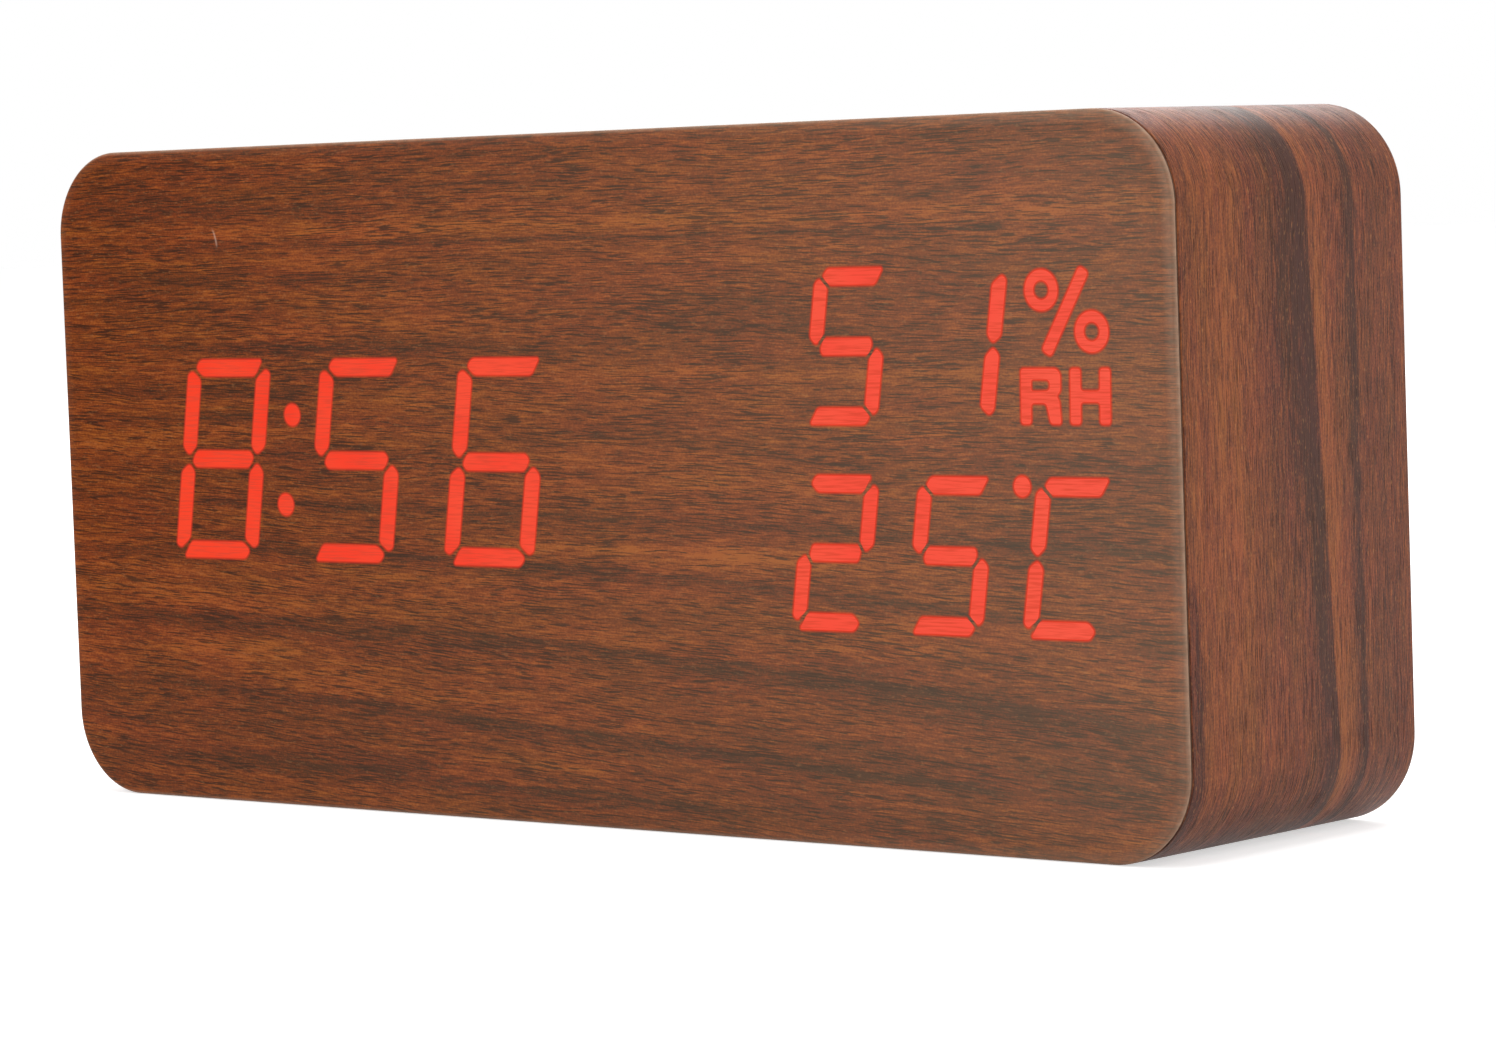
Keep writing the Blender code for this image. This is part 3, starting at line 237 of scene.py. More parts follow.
def make_walnut_grain():
    """Printed walnut. Place is in millimetres, X along the grain and Y across it."""
    group, take, give = new_group(
        "walnut_grain",
        [("Place", "Vector", None), ("Streaks", "Float", 0.0), ("Dark", "Color", from_screen(70, 37, 14)),
         ("Middle", "Color", from_screen(117, 54, 14)), ("Light", "Color", from_screen(159, 87, 30)),
         ("Pore", "Color", from_screen(48, 23, 8)), ("Bands", "Float", 1.0), ("Fine", "Float", 1.0),
         ("Flecks", "Float", 0.16), ("Pores", "Float", 0.8)],
        [("Colour", "Color"), ("Roughness", "Float"), ("Height", "Float")])
    place = take["Place"]

    # The grain's lines sway and ripple by these distances, in millimetres
    sway_reach, ripple_reach = 2.6, 0.4
    sway = from_middle(group, figure(group, place, 55, 13))
    ripple = from_middle(group, figure(group, place, 7, 2.4))
    x, y, z = parts_of(group, place)
    swayed_y = maths(group, "MULTIPLY_ADD", sway, sway_reach, y)
    flow = vector(group, x, maths(group, "MULTIPLY_ADD", ripple, ripple_reach, swayed_y), z)

    # The tone is 0 for the middle colour, and reaches the light and the dark one at its ends
    tone, tone_end = take["Streaks"], 0.8
    lines = figure(group, flow, 5.5, 0.45, 3.0, 0.6)
    fibres = figure(group, flow, 2.3, 0.17, 2.0, 0.6)
    for strength, marks, amount in (("Bands", figure(group, flow, 46, 5.2, 2.0), 0.85),
                                    ("Bands", figure(group, flow, 24, 1.5, 3.0, 0.55), 0.8),
                                    ("Fine", lines, 1.4),
                                    ("Fine", fibres, 2.5),
                                    ("Fine", figure(group, place, 0.26, 0.2), 1.2)):
        value = maths(group, "MULTIPLY", from_middle(group, marks), take[strength])
        tone = maths(group, "MULTIPLY_ADD", value, amount, tone)
    dark = blended(group, spread(group, tone, 0.0, -tone_end), take["Middle"], take["Dark"])
    wood = blended(group, spread(group, tone, 0.0, tone_end), dark, take["Light"])

    # Patches of a cooler and a warmer tint
    warmth = spread(group, figure(group, flow, 15, 2.6, 2.0), 0.34, 0.66)
    tint = blended(group, warmth, from_screen(255, 236, 238), from_screen(250, 246, 226))
    tinted = blended(group, 1.0, wood, tint, "MULTIPLY")

    # Pores are short dashes, closer together in some places
    dash = figure(group, flow, 3.0, 0.15)
    crowd = figure(group, flow, 11, 2.2)
    threshold = maths(group, "MULTIPLY_ADD", crowd, -0.26, 0.70)
    pores = spread(group, maths(group, "SUBTRACT", dash, threshold), 0.0, 0.06)
    pored = blended(group, maths(group, "MULTIPLY", pores, take["Pores"]), tinted, take["Pore"])

    flecks = spread(group, figure(group, place, 0.7, 0.24, depth=0.5), 0.62, 0.76)
    fleck_share = maths(group, "MULTIPLY", flecks, take["Flecks"])
    flecked = blended(group, fleck_share, pored, from_screen(190, 132, 80))
    group.links.new(flecked, give["Colour"])
    gloss = spread(group, lines, 0.3, 0.7, to_low=0.46, to_high=0.4)
    group.links.new(maths(group, "MULTIPLY_ADD", pores, 0.12, gloss), give["Roughness"])
    relief = maths(group, "MULTIPLY_ADD", pores, -1.0, maths(group, "MULTIPLY", fibres, 0.4))
    group.links.new(relief, give["Height"])
    return group


def make_moulded_surface():
    """The fine spark-eroded texture of a moulding tool, with faint handling marks."""
    group, take, give = new_group(
        "moulded_surface",
        [("Grain", "Float", 0.16), ("Colour", "Color", mould_black), ("Rub", "Float", 0.3)],
        [("Colour", "Color"), ("Roughness", "Float"), ("Height", "Float")])
    place = object_place(group)
    grain = noise(group, place, maths(group, "DIVIDE", 1.0, take["Grain"]), 3.0, 0.6)
    patch = noise(group, place, 0.12, 3.0)
    pale = blended(group, 1.0, take["Colour"], (0.008, 0.008, 0.008, 1), "ADD")
    rubbed = maths(group, "MULTIPLY", spread(group, patch, 0.42, 0.7), take["Rub"])
    group.links.new(blended(group, rubbed, take["Colour"], pale), give["Colour"])
    gloss = spread(group, grain, 0.3, 0.7, to_low=0.52, to_high=0.6)
    group.links.new(maths(group, "MULTIPLY_ADD", rubbed, -0.14, gloss), give["Roughness"])
    group.links.new(grain, give["Height"])
    return group


def make_fine_marks():
    """Small uneven marks in a finish: a tone just under 1, and a rough mask near 0.5."""
    group, take, give = new_group(
        "fine_marks",
        [("Size", "Float", 1.0), ("Stretch", "Float", 1.0), ("Amount", "Float", 0.2)],
        [("Tone", "Float"), ("Marks", "Float")])
    x, y, z = parts_of(group, object_place(group))
    drawn = vector(group, maths(group, "DIVIDE", x, take["Stretch"]), y, z)
    marks = noise(group, drawn, maths(group, "DIVIDE", 1.0, take["Size"]), 4.0, 0.6)
    low = maths(group, "SUBTRACT", 1.0, take["Amount"])
    group.links.new(maths(group, "MULTIPLY_ADD", marks, take["Amount"], low), give["Tone"])
    group.links.new(marks, give["Marks"])
    return group


grain_streak = make_grain_streak()
walnut_grain = make_walnut_grain()
moulded_surface = make_moulded_surface()
fine_marks = make_fine_marks()


# Materials

def new_material(name, roughness=0.5, metallic=0.0, specular=0.5):
    """A material, its tree, and its Principled shader."""
    made = bpy.data.materials.new(name)
    made.use_nodes = True
    shader = made.node_tree.nodes["Principled BSDF"]
    shader.inputs["Roughness"].default_value = roughness
    shader.inputs["Metallic"].default_value = metallic
    shader.inputs["Specular IOR Level"].default_value = specular
    return made, made.node_tree, shader


def dress_shader(tree, shader, colour, height, depth, gloss=None):
    """Gives the shader its colour, a bump of this depth in metres, and its roughness where that varies."""
    tree.links.new(colour, shader.inputs["Base Color"])
    if gloss is not None:
        tree.links.new(gloss, shader.inputs["Roughness"])
    bump = add(tree, "Bump", {"Height": height, "Distance": depth, "Strength": 1.0})
    tree.links.new(bump.outputs[0], shader.inputs["Normal"])


def gloss_of(tree, marks, low, high):
    """A roughness that follows the marks from low to high."""
    return spread(tree, marks["Marks"], 0.3, 0.7, low, high)


def streak(tree, place, sizes):
    return use_group(tree, grain_streak, {"Place": place, **dict(zip(streak_sizes, sizes))})["Mask"]


def streaked(tree, place, streaks):
    """The sum of the streaks, each with its strength, broken up a little along its length."""
    total = 0.0
    for strength, *sizes in streaks:
        total = maths(tree, "MULTIPLY_ADD", streak(tree, place, sizes), strength, total)
    broken = spread(tree, figure(tree, place, 9, 0.9, 2.0), 0.32, 0.62, to_low=0.45, to_high=1.25)
    return maths(tree, "MULTIPLY", total, broken)


# The front's main streaks. Each row has the strength, the middle's x and height, the rise, the bend, the
# length, and the widths below and above the line, in millimetres. The last three are broad soft tones.
front_streaks = [
    (-0.50, -49.5, 63.2, 0.0, 0.0, 42, 0.9, 0.9),
    (0.40, 15.0, 61.0, 0.0, 0.0, 150, 0.8, 0.8),
    (-0.50, 0.0, 59.4, 0.0, 0.0, 160, 0.28, 0.2),
    (-0.90, 54.0, 59.5, 0.0, 0.0, 3.4, 0.5, 0.5),
    (-0.46, -45.0, 56.0, 0.0, 0.0, 52, 0.8, 0.8),
    (-0.42, -40.0, 48.6, -0.008, 0.0, 80, 0.7, 0.7),
    (0.42, 12.0, 46.0, -0.015, 0.0, 82, 0.8, 0.8),
    (-0.52, -52.0, 44.0, 0.0, 0.0, 46, 0.8, 0.5),
    (-0.54, -52.0, 41.4, 0.0, 0.0, 46, 0.9, 0.6),
    (-0.42, -40.0, 37.5, 0.0, 0.0, 32, 0.8, 0.8),
    (-0.46, 0.0, 31.4, -0.025, -0.0001, 170, 0.7, 0.4),
    (0.50, 18.0, 27.9, -0.02, 0.0, 62, 0.9, 0.9),
    (-0.60, 0.0, 26.2, -0.04, -0.0004, 170, 1.0, 0.35),
    (-0.75, 0.0, 18.2, -0.052, -0.0003, 170, 1.9, 0.5),
    (0.42, -52.5, 16.5, 0.0, 0.0, 24, 0.8, 0.8),
    (-0.60, 0.0, 9.5, -0.06, 0.0, 130, 1.0, 0.4),
    (0.42, -6.0, 6.0, 0.0, 0.0, 22, 0.8, 0.8),
    (-0.62, -45.0, 4.6, 0.0, 0.0, 46, 1.1, 1.1),
    (-0.50, 0.0, 3.3, -0.02, 0.0, 44, 0.9, 0.5),
    (0.22, 60.0, 62.0, 0.0, 0.0, 60, 6.0, 6.0),
    (0.24, -25.0, 21.0, 0.0, 0.0, 150, 7.0, 7.0),
    (-0.25, 58.0, 7.0, 0.0, 0.0, 60, 5.0, 5.0),
]

# The same for the wrap, where one row, marked below, is a painted shade and no streak. Its x runs round the
# case from the middle of the +X side, and its height is the depth behind the middle of the case.
wrap_streaks_and_shade = [
    (-0.85, 0.0, 3.9, -0.067, 0.0, 150, 3.0, 0.35),
    (-0.50, 24.0, -0.6, -0.04, 0.0, 56, 4.4, 2.2),
    (-0.40, 0.0, 2.6, -0.067, 0.0, 150, 1.2, 1.2),
    (0.62, 0.0, 4.3, -0.067, 0.0, 150, 0.3, 2.6),
    (-1.00, 0.0, 10.2, -0.010, 0.0, 150, 1.3, 0.35),
    (-0.20, 0.0, 14.5, 0.0, 0.0, 130, 2.8, 2.8),
    (0.30, 20.0, -12.0, -0.02, 0.0, 70, 3.2, 3.2),
    (0.30, -10.0, -16.2, -0.02, 0.0, 60, 0.7, 0.7),
    (-0.95, -26.0, -17.1, 0.0, 0.0, 34, 1.3, 1.0),
    # This row is a painted shade on the lower corner and the underside, towards the front, where the wrap
    # turns away from the light. It is no streak of the figure.
    (-0.75, -42.0, -7.0, 0.0, 0.0, 22, 14.0, 8.0),
    (-0.40, 150.0, -6.0, 0.02, 0.0, 120, 1.8, 0.6),
    (0.44, 140.0, 3.0, -0.02, 0.0, 110, 1.6, 1.6),
    (-0.44, -150.0, 6.0, 0.02, 0.0, 120, 1.6, 0.6),
    (0.40, -120.0, -9.0, 0.015, 0.0, 110, 1.8, 1.8),
    (0.24, -3.0, -11.5, 0.0, 0.0, 88, 6.5, 6.0),
]

# The small pale nick in the front film. Its streak runs upright, so its sizes are for (height, x).
nick_sizes = (60.4, -50.3, -0.3, -0.12, 1.7, 0.13, 0.13)


def make_walnut_front():
    """The front film, with the light of the readout behind it where the mesh's glow is above 0."""
    made, tree, shader = new_material("walnut_front", specular=0.05)
    x, _, z = parts_of(tree, object_place(tree))
    slope = spread(tree, z, 8.0, 66.0, to_low=0.055, to_high=0.0)
    level = maths(tree, "MULTIPLY_ADD", x, slope, z)
    place = vector(tree, x, z)
    grain = use_group(tree, walnut_grain, {
        "Place": vector(tree, x, level, 7.3), "Streaks": streaked(tree, place, front_streaks)})

    # A pale veil is painted on the film: a painted sheen, mostly towards the right, and a little paling at the
    # lower left
    right_painted_sheen = maths(tree, "MULTIPLY", maths(tree, "POWER", spread(tree, x, -75.0, 75.0), 1.3), 0.085)
    low_left_haze = maths(tree, "MULTIPLY", spread(tree, z, 30.0, 2.0, to_high=0.016),
                          spread(tree, x, -75.0, 60.0, to_low=1.0, to_high=0.0))
    painted_veil = maths(tree, "ADD", right_painted_sheen, low_left_haze)
    sheen_hazed = blended(tree, painted_veil, grain["Colour"], (0.90, 0.79, 0.60, 1))
    nick = streak(tree, vector(tree, z, x), nick_sizes)
    marked = blended(tree, maths(tree, "MULTIPLY", nick, 0.45), sheen_hazed, from_screen(206, 170, 148))

    # The rounded edge is paler, partly worn print and partly painted highlight, and a narrow border inside it
    # holds a painted highlight, mostly at the upper right
    cut = attribute(tree, "cut")
    straight_x, middle_z = (case_half_x - case_corner) * metre, case_height / 2 * metre
    out_x = beyond(tree, x, straight_x)
    out_z = beyond(tree, maths(tree, "SUBTRACT", z, middle_z), middle_z - case_corner * metre)
    out_z_squared = maths(tree, "MULTIPLY", out_z, out_z)
    reach = maths(tree, "SQRT", maths(tree, "MULTIPLY_ADD", out_x, out_x, out_z_squared))
    highlight_border = maths(tree, "MULTIPLY", spread(tree, reach, 7.6, 8.6), spread(tree, x, 20.0, 70.0, 0.08, 0.42))
    worn_and_highlight = maths(tree, "MAXIMUM", cut, maths(tree, "MULTIPLY", highlight_border, spread(tree, z, 20.0, 62.0, 0.5, 1.0)))
    marks = use_group(tree, fine_marks, {"Size": 0.8, "Amount": 0.5})
    bare_and_highlight = blended(tree, marks["Marks"], from_screen(138, 104, 84), from_screen(202, 170, 144))
    edged = blended(tree, maths(tree, "MULTIPLY", worn_and_highlight, 0.75), marked, bare_and_highlight)

    glow = attribute(tree, "glow")
    halo = blended(tree, maths(tree, "POWER", glow, 1.4), black, (0.80, 0.036, 0.012, 1))
    tree.links.new(halo, shader.inputs["Emission Color"])
    shader.inputs["Emission Strength"].default_value = 1.0
    lit_through = blended(tree, glow, edged, unlit_film)
    dress_shader(tree, shader, lit_through, grain["Height"], print_relief, grain["Roughness"])
    return made


def make_lit_stroke():
    """The film where a stroke is lit from behind: the light drowns the print, but for a trace of its grain."""
    made, tree, shader = new_material("lit_stroke", roughness=0.45, specular=0.06)
    x, _, z = parts_of(tree, object_place(tree))
    place = vector(tree, x, z, 3.1)
    fibres = figure(tree, place, 3.5, 0.22, 2.0)
    warm = spread(tree, figure(tree, place, 9, 6), 0.35, 0.65)
    lit = blended(tree, warm, (0.90, 0.032, 0.005, 1), (0.90, 0.050, 0.013, 1))
    # A painted sheen, paler towards the right, as on the front film
    sheen_hazed = blended(tree, spread(tree, x, -60.0, 70.0, to_high=0.062), lit, (0.8, 0.8, 0.7, 1))
    printed = blended(tree, spread(tree, fibres, 0.46, 0.66, to_high=0.65), sheen_hazed, (0.62, 0.050, 0.022, 1))
    tree.links.new(printed, shader.inputs["Emission Color"])
    shader.inputs["Emission Strength"].default_value = 1.0
    shader.inputs["Base Color"].default_value = unlit_film
    return made


def make_walnut_wrap():
    """The film round the case, its grain running round with it. Its UV map is in millimetres."""
    made, tree, shader = new_material("walnut_wrap", specular=0.12)
    x, y, _ = parts_of(tree, add(tree, "UVMap", uv_map="film").outputs[0])
    place = vector(tree, x, y)
    grain = use_group(tree, walnut_grain, {
        "Place": vector(tree, x, y, 41.0), "Streaks": streaked(tree, place, wrap_streaks_and_shade),
        "Dark": from_screen(74, 46, 36), "Middle": from_screen(116, 66, 45), "Light": from_screen(156, 92, 54),
        "Bands": 0.8, "Fine": 1.3, "Flecks": 0.35, "Pores": 0.5})
    # A faint painted sheen, paler towards the rear
    sheen_hazed = blended(tree, spread(tree, y, -19.0, 19.0, to_high=0.008), grain["Colour"], white)
    # A painted shade along the seam with the front film, where the groove between the films lies in shade
    seam_shade = spread(tree, y, -18.5, -18.2, to_low=0.75, to_high=0.0)
    seam_shaded = blended(tree, seam_shade, sheen_hazed, from_screen(52, 26, 18))
    dress_shader(tree, shader, seam_shaded, grain["Height"], print_relief, grain["Roughness"])
    return made


def make_film_edge():
    """The film's own stuff, pale brown, where its back or its cut shows."""
    made, tree, shader = new_material("film_edge", roughness=0.6, specular=0.3)
    marks = use_group(tree, fine_marks, {"Size": 0.5, "Amount": 0.5})
    colour = blended(tree, marks["Marks"], from_screen(104, 74, 58), from_screen(168, 138, 116))
    dress_shader(tree, shader, colour, marks["Marks"], 0.00003)
    return made


def make_fibreboard():
    made, tree, shader = new_material("fibreboard", roughness=0.85, specular=0.2)
    fine = use_group(tree, fine_marks, {"Size": 0.35, "Amount": 0.5})
    broad = use_group(tree, fine_marks, {"Size": 4.0, "Amount": 0.3})
    colour = blended(tree, fine["Marks"], from_screen(132, 98, 66), from_screen(186, 150, 110))
    patched = blended(tree, broad["Marks"], colour, from_screen(150, 116, 80))
    dress_shader(tree, shader, patched, fine["Marks"], 0.00006)
    return made


def make_moulding(name, colour, grain, rub, depth):
    made, tree, shader = new_material(name, specular=0.25)
    surface = use_group(tree, moulded_surface, {"Grain": grain, "Colour": colour, "Rub": rub})
    dress_shader(tree, shader, surface["Colour"], surface["Height"], depth, surface["Roughness"])
    return made


def make_metal(name, colour, roughness, stretch):
    """Plated metal with drawn marks along X."""
    made, tree, shader = new_material(name, metallic=1.0)
    marks = use_group(tree, fine_marks, {"Size": 0.12, "Stretch": stretch, "Amount": 0.3})
    blooms = use_group(tree, fine_marks, {"Size": 1.4, "Amount": 0.3})
    tone = maths(tree, "MULTIPLY", marks["Tone"], blooms["Tone"])
    gloss = gloss_of(tree, marks, roughness - 0.07, roughness + 0.09)
    dress_shader(tree, shader, blended(tree, tone, black, colour), marks["Marks"], 0.000006, gloss)
    return made


def make_plain(name, colour, roughness, size=0.8, amount=0.16):
    """A plain finish with small uneven marks in its tone and gloss."""
    made, tree, shader = new_material(name)
    marks = use_group(tree, fine_marks, {"Size": size, "Amount": amount})
    gloss = gloss_of(tree, marks, roughness - 0.05, roughness + 0.06)
    dress_shader(tree, shader, blended(tree, marks["Tone"], black, colour), marks["Marks"], 0.000012, gloss)
    return made


def make_circuit_board():
    """Green solder mask with the shade of copper under it, in runs like brickwork."""
    made, tree, shader = new_material("circuit_board", roughness=0.35)
    x, _, z = parts_of(tree, object_place(tree))
    runs = add(tree, "TexBrick", {
        "Vector": vector(tree, x, z), "Scale": 0.5, "Mortar Size": 0.05, "Color1": black,
        "Color2": (0.2, 0.2, 0.2, 1), "Mortar": white}, offset=0.37)
    marks = use_group(tree, fine_marks, {"Size": 2.0, "Amount": 0.2})
    mask = blended(tree, runs.outputs["Fac"], (0.010, 0.085, 0.032, 1), (0.022, 0.15, 0.055, 1))
    toned = blended(tree, marks["Tone"], (0.004, 0.03, 0.012, 1), mask)
    dress_shader(tree, shader, toned, runs.outputs["Fac"], 0.00003)
    return made


def make_ribbon_film():
    """Pale flat cable with its conductors showing as fine lines."""
    made, tree, shader = new_material("ribbon_film", roughness=0.4)
    lines = add(tree, "TexWave", {"Vector": object_place(tree), "Scale": 0.32, "Distortion": 0.0},
                bands_direction="X")
    between = spread(tree, lines.outputs["Fac"], 0.35, 0.65)
    colour = blended(tree, between, from_screen(226, 222, 212), from_screen(168, 166, 160))
    dress_shader(tree, shader, colour, lines.outputs["Fac"], 0.00004)
    return made


def make_cell_sleeve():
    """A plain shrink sleeve in two tones, with a thin line between them."""
    made, tree, shader = new_material("cell_sleeve", roughness=0.3)
    dark_grey, pale_grey = from_screen(52, 60, 74), from_screen(176, 180, 184)
    along = attribute(tree, "along")
    marks = use_group(tree, fine_marks, {"Size": 0.9, "Stretch": 8.0, "Amount": 0.2})
    deep = blended(tree, marks["Tone"], black, dark_grey)
    pale = blended(tree, marks["Tone"], black, pale_grey)
    body = blended(tree, spread(tree, along, 0.740, 0.742), pale, deep)
    lined = blended(tree, maths(tree, "COMPARE", along, 0.725, 0.006), body, dark_grey)
    dress_shader(tree, shader, lined, marks["Marks"], 0.00001, gloss_of(tree, marks, 0.26, 0.36))
    return made


finishes = {
    "walnut_front": make_walnut_front(),
    "walnut_wrap": make_walnut_wrap(),
    "film_edge": make_film_edge(),
    "lit_stroke": make_lit_stroke(),
    "fibreboard": make_fibreboard(),
    "black_moulding": make_moulding("black_moulding", mould_black, 0.16, 0.35, 0.00002),
    "key_plastic": make_moulding("key_plastic", (0.018, 0.018, 0.019, 1), 0.1, 0.8, 0.000006),
    "plated_steel": make_metal("plated_steel", (0.66, 0.65, 0.62, 1), 0.26, 9.0),
    "screw_steel": make_metal("screw_steel", (0.34, 0.34, 0.35, 1), 0.36, 1.0),
    "cell_sleeve": make_cell_sleeve(),
    "cell_ring": make_plain("cell_ring", (0.03, 0.03, 0.032, 1), 0.5),
    "diffuser_film": make_plain("diffuser_film", (0.8, 0.78, 0.76, 1), 0.55),
    "circuit_board": make_circuit_board(),
    "chip_epoxy": make_plain("chip_epoxy", (0.02, 0.02, 0.022, 1), 0.55, 0.2, 0.3),
    "switch_plastic": make_plain("switch_plastic", (0.025, 0.025, 0.027, 1), 0.42),
    "switch_plunger": make_plain("switch_plunger", (0.55, 0.54, 0.5, 1), 0.4),
    "ribbon_film": make_ribbon_film(),
    "socket_white": make_plain("socket_white", (0.72, 0.69, 0.6, 1), 0.42),
    "red_insulation": make_plain("red_insulation", (0.5, 0.02, 0.015, 1), 0.3),
    "black_insulation": make_plain("black_insulation", (0.015, 0.015, 0.016, 1), 0.3),
}


# Objects and meshes

def new_object(name, data):
    made = bpy.data.objects.new(name, data)
    bpy.context.scene.collection.objects.link(made)
    return made


def new_piece(name, mesh, *finish_names):
    for finish in finish_names:
        mesh.materials.append(finishes[finish])
    return new_object(name, mesh)


def mesh_of(shape, name):
    """The bmesh as a mesh, with the bmesh let go."""
    mesh = bpy.data.meshes.new(name)
    shape.to_mesh(mesh)
    shape.free()
    return mesh


def made_plain(piece):
    """The piece with its modifiers worked into a plain mesh."""
    shown = piece.evaluated_get(bpy.context.evaluated_depsgraph_get())
    mesh = bpy.data.meshes.new_from_object(shown)
    piece.modifiers.clear()
    piece.data = mesh
    return piece


def shade(piece, angle=32):
    """Smooth faces with the edges sharper than this angle kept, and the broad faces kept flat."""
    shape = bmesh.new()
    shape.from_mesh(piece.data)
    for face in shape.faces:
        face.smooth = True
    for edge in shape.edges:
        edge.smooth = not (edge.is_manifold and edge.calc_face_angle() > math.radians(angle))
    shape.to_mesh(piece.data)
    shape.free()
    modifier = piece.modifiers.new("even", "WEIGHTED_NORMAL")
    modifier.keep_sharp = True
    return made_plain(piece)


def finish_shape(shape, name, finish_names, angle=32):
    """The bmesh as a shaded piece whose faces point outwards."""
    bmesh.ops.recalc_face_normals(shape, faces=shape.faces)
    return shade(new_piece(name, mesh_of(shape, name), *finish_names), angle)


def case_outline(inset):
    """The case's rounded outline as (x, z, way round it), from the middle of its underside towards +X.
    The way is that of the outermost outline, in millimetres from the middle of the +X side."""
    radius = case_corner - inset
    side = case_half_x - case_corner
    height = case_height - 2 * case_corner
    quarter = math.pi / 2 * case_corner
    points = [(0.0, inset, 0.0)]
    walked = side
    for turn, x, z in ((-90, side, case_corner), (0, side, case_height - case_corner),
                       (90, -side, case_height - case_corner), (180, -side, case_corner)):
        for step in range(corner_steps + 1):
            angle = math.radians(turn + 90 * step / corner_steps)
            points.append((x + radius * math.cos(angle), z + radius * math.sin(angle),
                           walked + quarter * step / corner_steps))
        walked += quarter + (height if turn in (-90, 90) else 2 * side)
    middle = side + quarter + height / 2
    return [(x, z, (way - middle) * metre) for x, z, way in points]


def rounded(points, radius, steps=5):
    """A closed outline with its corners rounded. A short side takes a smaller round."""
    corners = [Vector(point) for point in points]
    side_share = 0.46
    result = []
    for index, corner in enumerate(corners):
        back = corners[index - 1] - corner
        ahead = corners[(index + 1) % len(corners)] - corner
        reach = min(radius, back.length * side_share, ahead.length * side_share)
        start, end = corner + back.normalized() * reach, corner + ahead.normalized() * reach
        for step in range(steps + 1):
            share = step / steps
            result.append(start * (1 - share) ** 2 + corner * (2 * share * (1 - share)) + end * share ** 2)
    return result


def quarter_turns(steps):
    """The angles of a round in this many steps, from 0 to a right angle."""
    return [math.radians(90 * step / steps) for step in range(steps + 1)]


def circle(x, z, radius, sides=40):
    """A circle given in millimetres, as an outline in metres."""
    turns = [2 * math.pi * i / sides for i in range(sides)]
    around = [(x + radius * math.cos(turn), z + radius * math.sin(turn)) for turn in turns]
    return [Vector((px / metre, pz / metre)) for px, pz in around]


def anticlockwise(points):
    area = sum(a.cross(b) for a, b in zip(points, points[1:] + points[:1]))
    return points if area > 0 else points[::-1]


def grown(points, amount):
    """An anticlockwise outline moved outwards all round by this amount."""
    result = []
    for index, point in enumerate(points):
        along = points[(index + 1) % len(points)] - points[index - 1]
        result.append(point + Vector((along.y, -along.x)).normalized() * amount)
    return result


# The readout, in millimetres: x from the middle of the case and z from its underside

readout_lean = 0.156
time_middle_z = 36.8
time_middles = {"8": -50.5, "5": -30.45, "6": -10.45}
colon_middle_x, colon_half_spacing, colon_radius = -40.45, 4.75, 1.16
humidity_z, temperature_z = 48.3, 28.4
readings = [("5", 36.2, humidity_z), ("1", 50.2, humidity_z), ("2", 34.0, temperature_z),
            ("5", 48.1, temperature_z), ("C", 62.2, temperature_z)]
reading_round_share = 0.8
degree_dot = (56.9, 35.1, 1.0)
percent_rings = [(59.8, 53.4), (65.5, 49.5)]
percent_ring_radius, percent_hole_radius = 1.95, 0.86
slash_middle, slash_degrees = (62.5, 51.4), 59.4
slash_half_length, slash_half_width = 4.55, 0.65
letter_r_x, letter_h_x, letter_foot_z = 57.0, 62.75, 40.9
letter_lean = 0.02
letter_hole_round_share = 0.6

# A digit's half width and half height, half the widths of its level and upright strokes, and their gap
time_digit = (5.25, 9.75, 0.88, 1.0, 0.37)
reading_digit = (3.8, 6.7, 0.83, 0.84, 0.13)
lit_strokes = {
    "8": ("top", "upper_left", "upper_right", "middle", "lower_left", "lower_right", "bottom"),
    "5": ("top", "upper_left", "middle", "lower_right", "bottom"),
    "6": ("top", "upper_left", "middle", "lower_left", "lower_right", "bottom"),
    "1": ("upper_right", "lower_right"),
    "2": ("top", "upper_right", "middle", "lower_left", "bottom"),
    "C": ("top", "upper_left", "lower_left", "bottom"),
}
letter_r = [(0, 0), (1.25, 0), (1.25, 1.95), (2.95, 1.95), (3.45, 0), (4.75, 0), (4.55, 2.2), (4.25, 2.65),
            (4.68, 3.1), (4.68, 4.75), (4.2, 5.25), (0, 5.25)]
letter_r_hole = [(1.3, 3.15), (3.1, 3.15), (3.35, 3.4), (3.35, 3.9), (3.1, 4.15), (1.3, 4.15)]
letter_h = [(0, 0), (1.25, 0), (1.25, 2.05), (3.4, 2.05), (3.4, 0), (4.65, 0), (4.65, 5.25), (3.4, 5.25),
            (3.4, 3.15), (1.25, 3.15), (1.25, 5.25), (0, 5.25)]


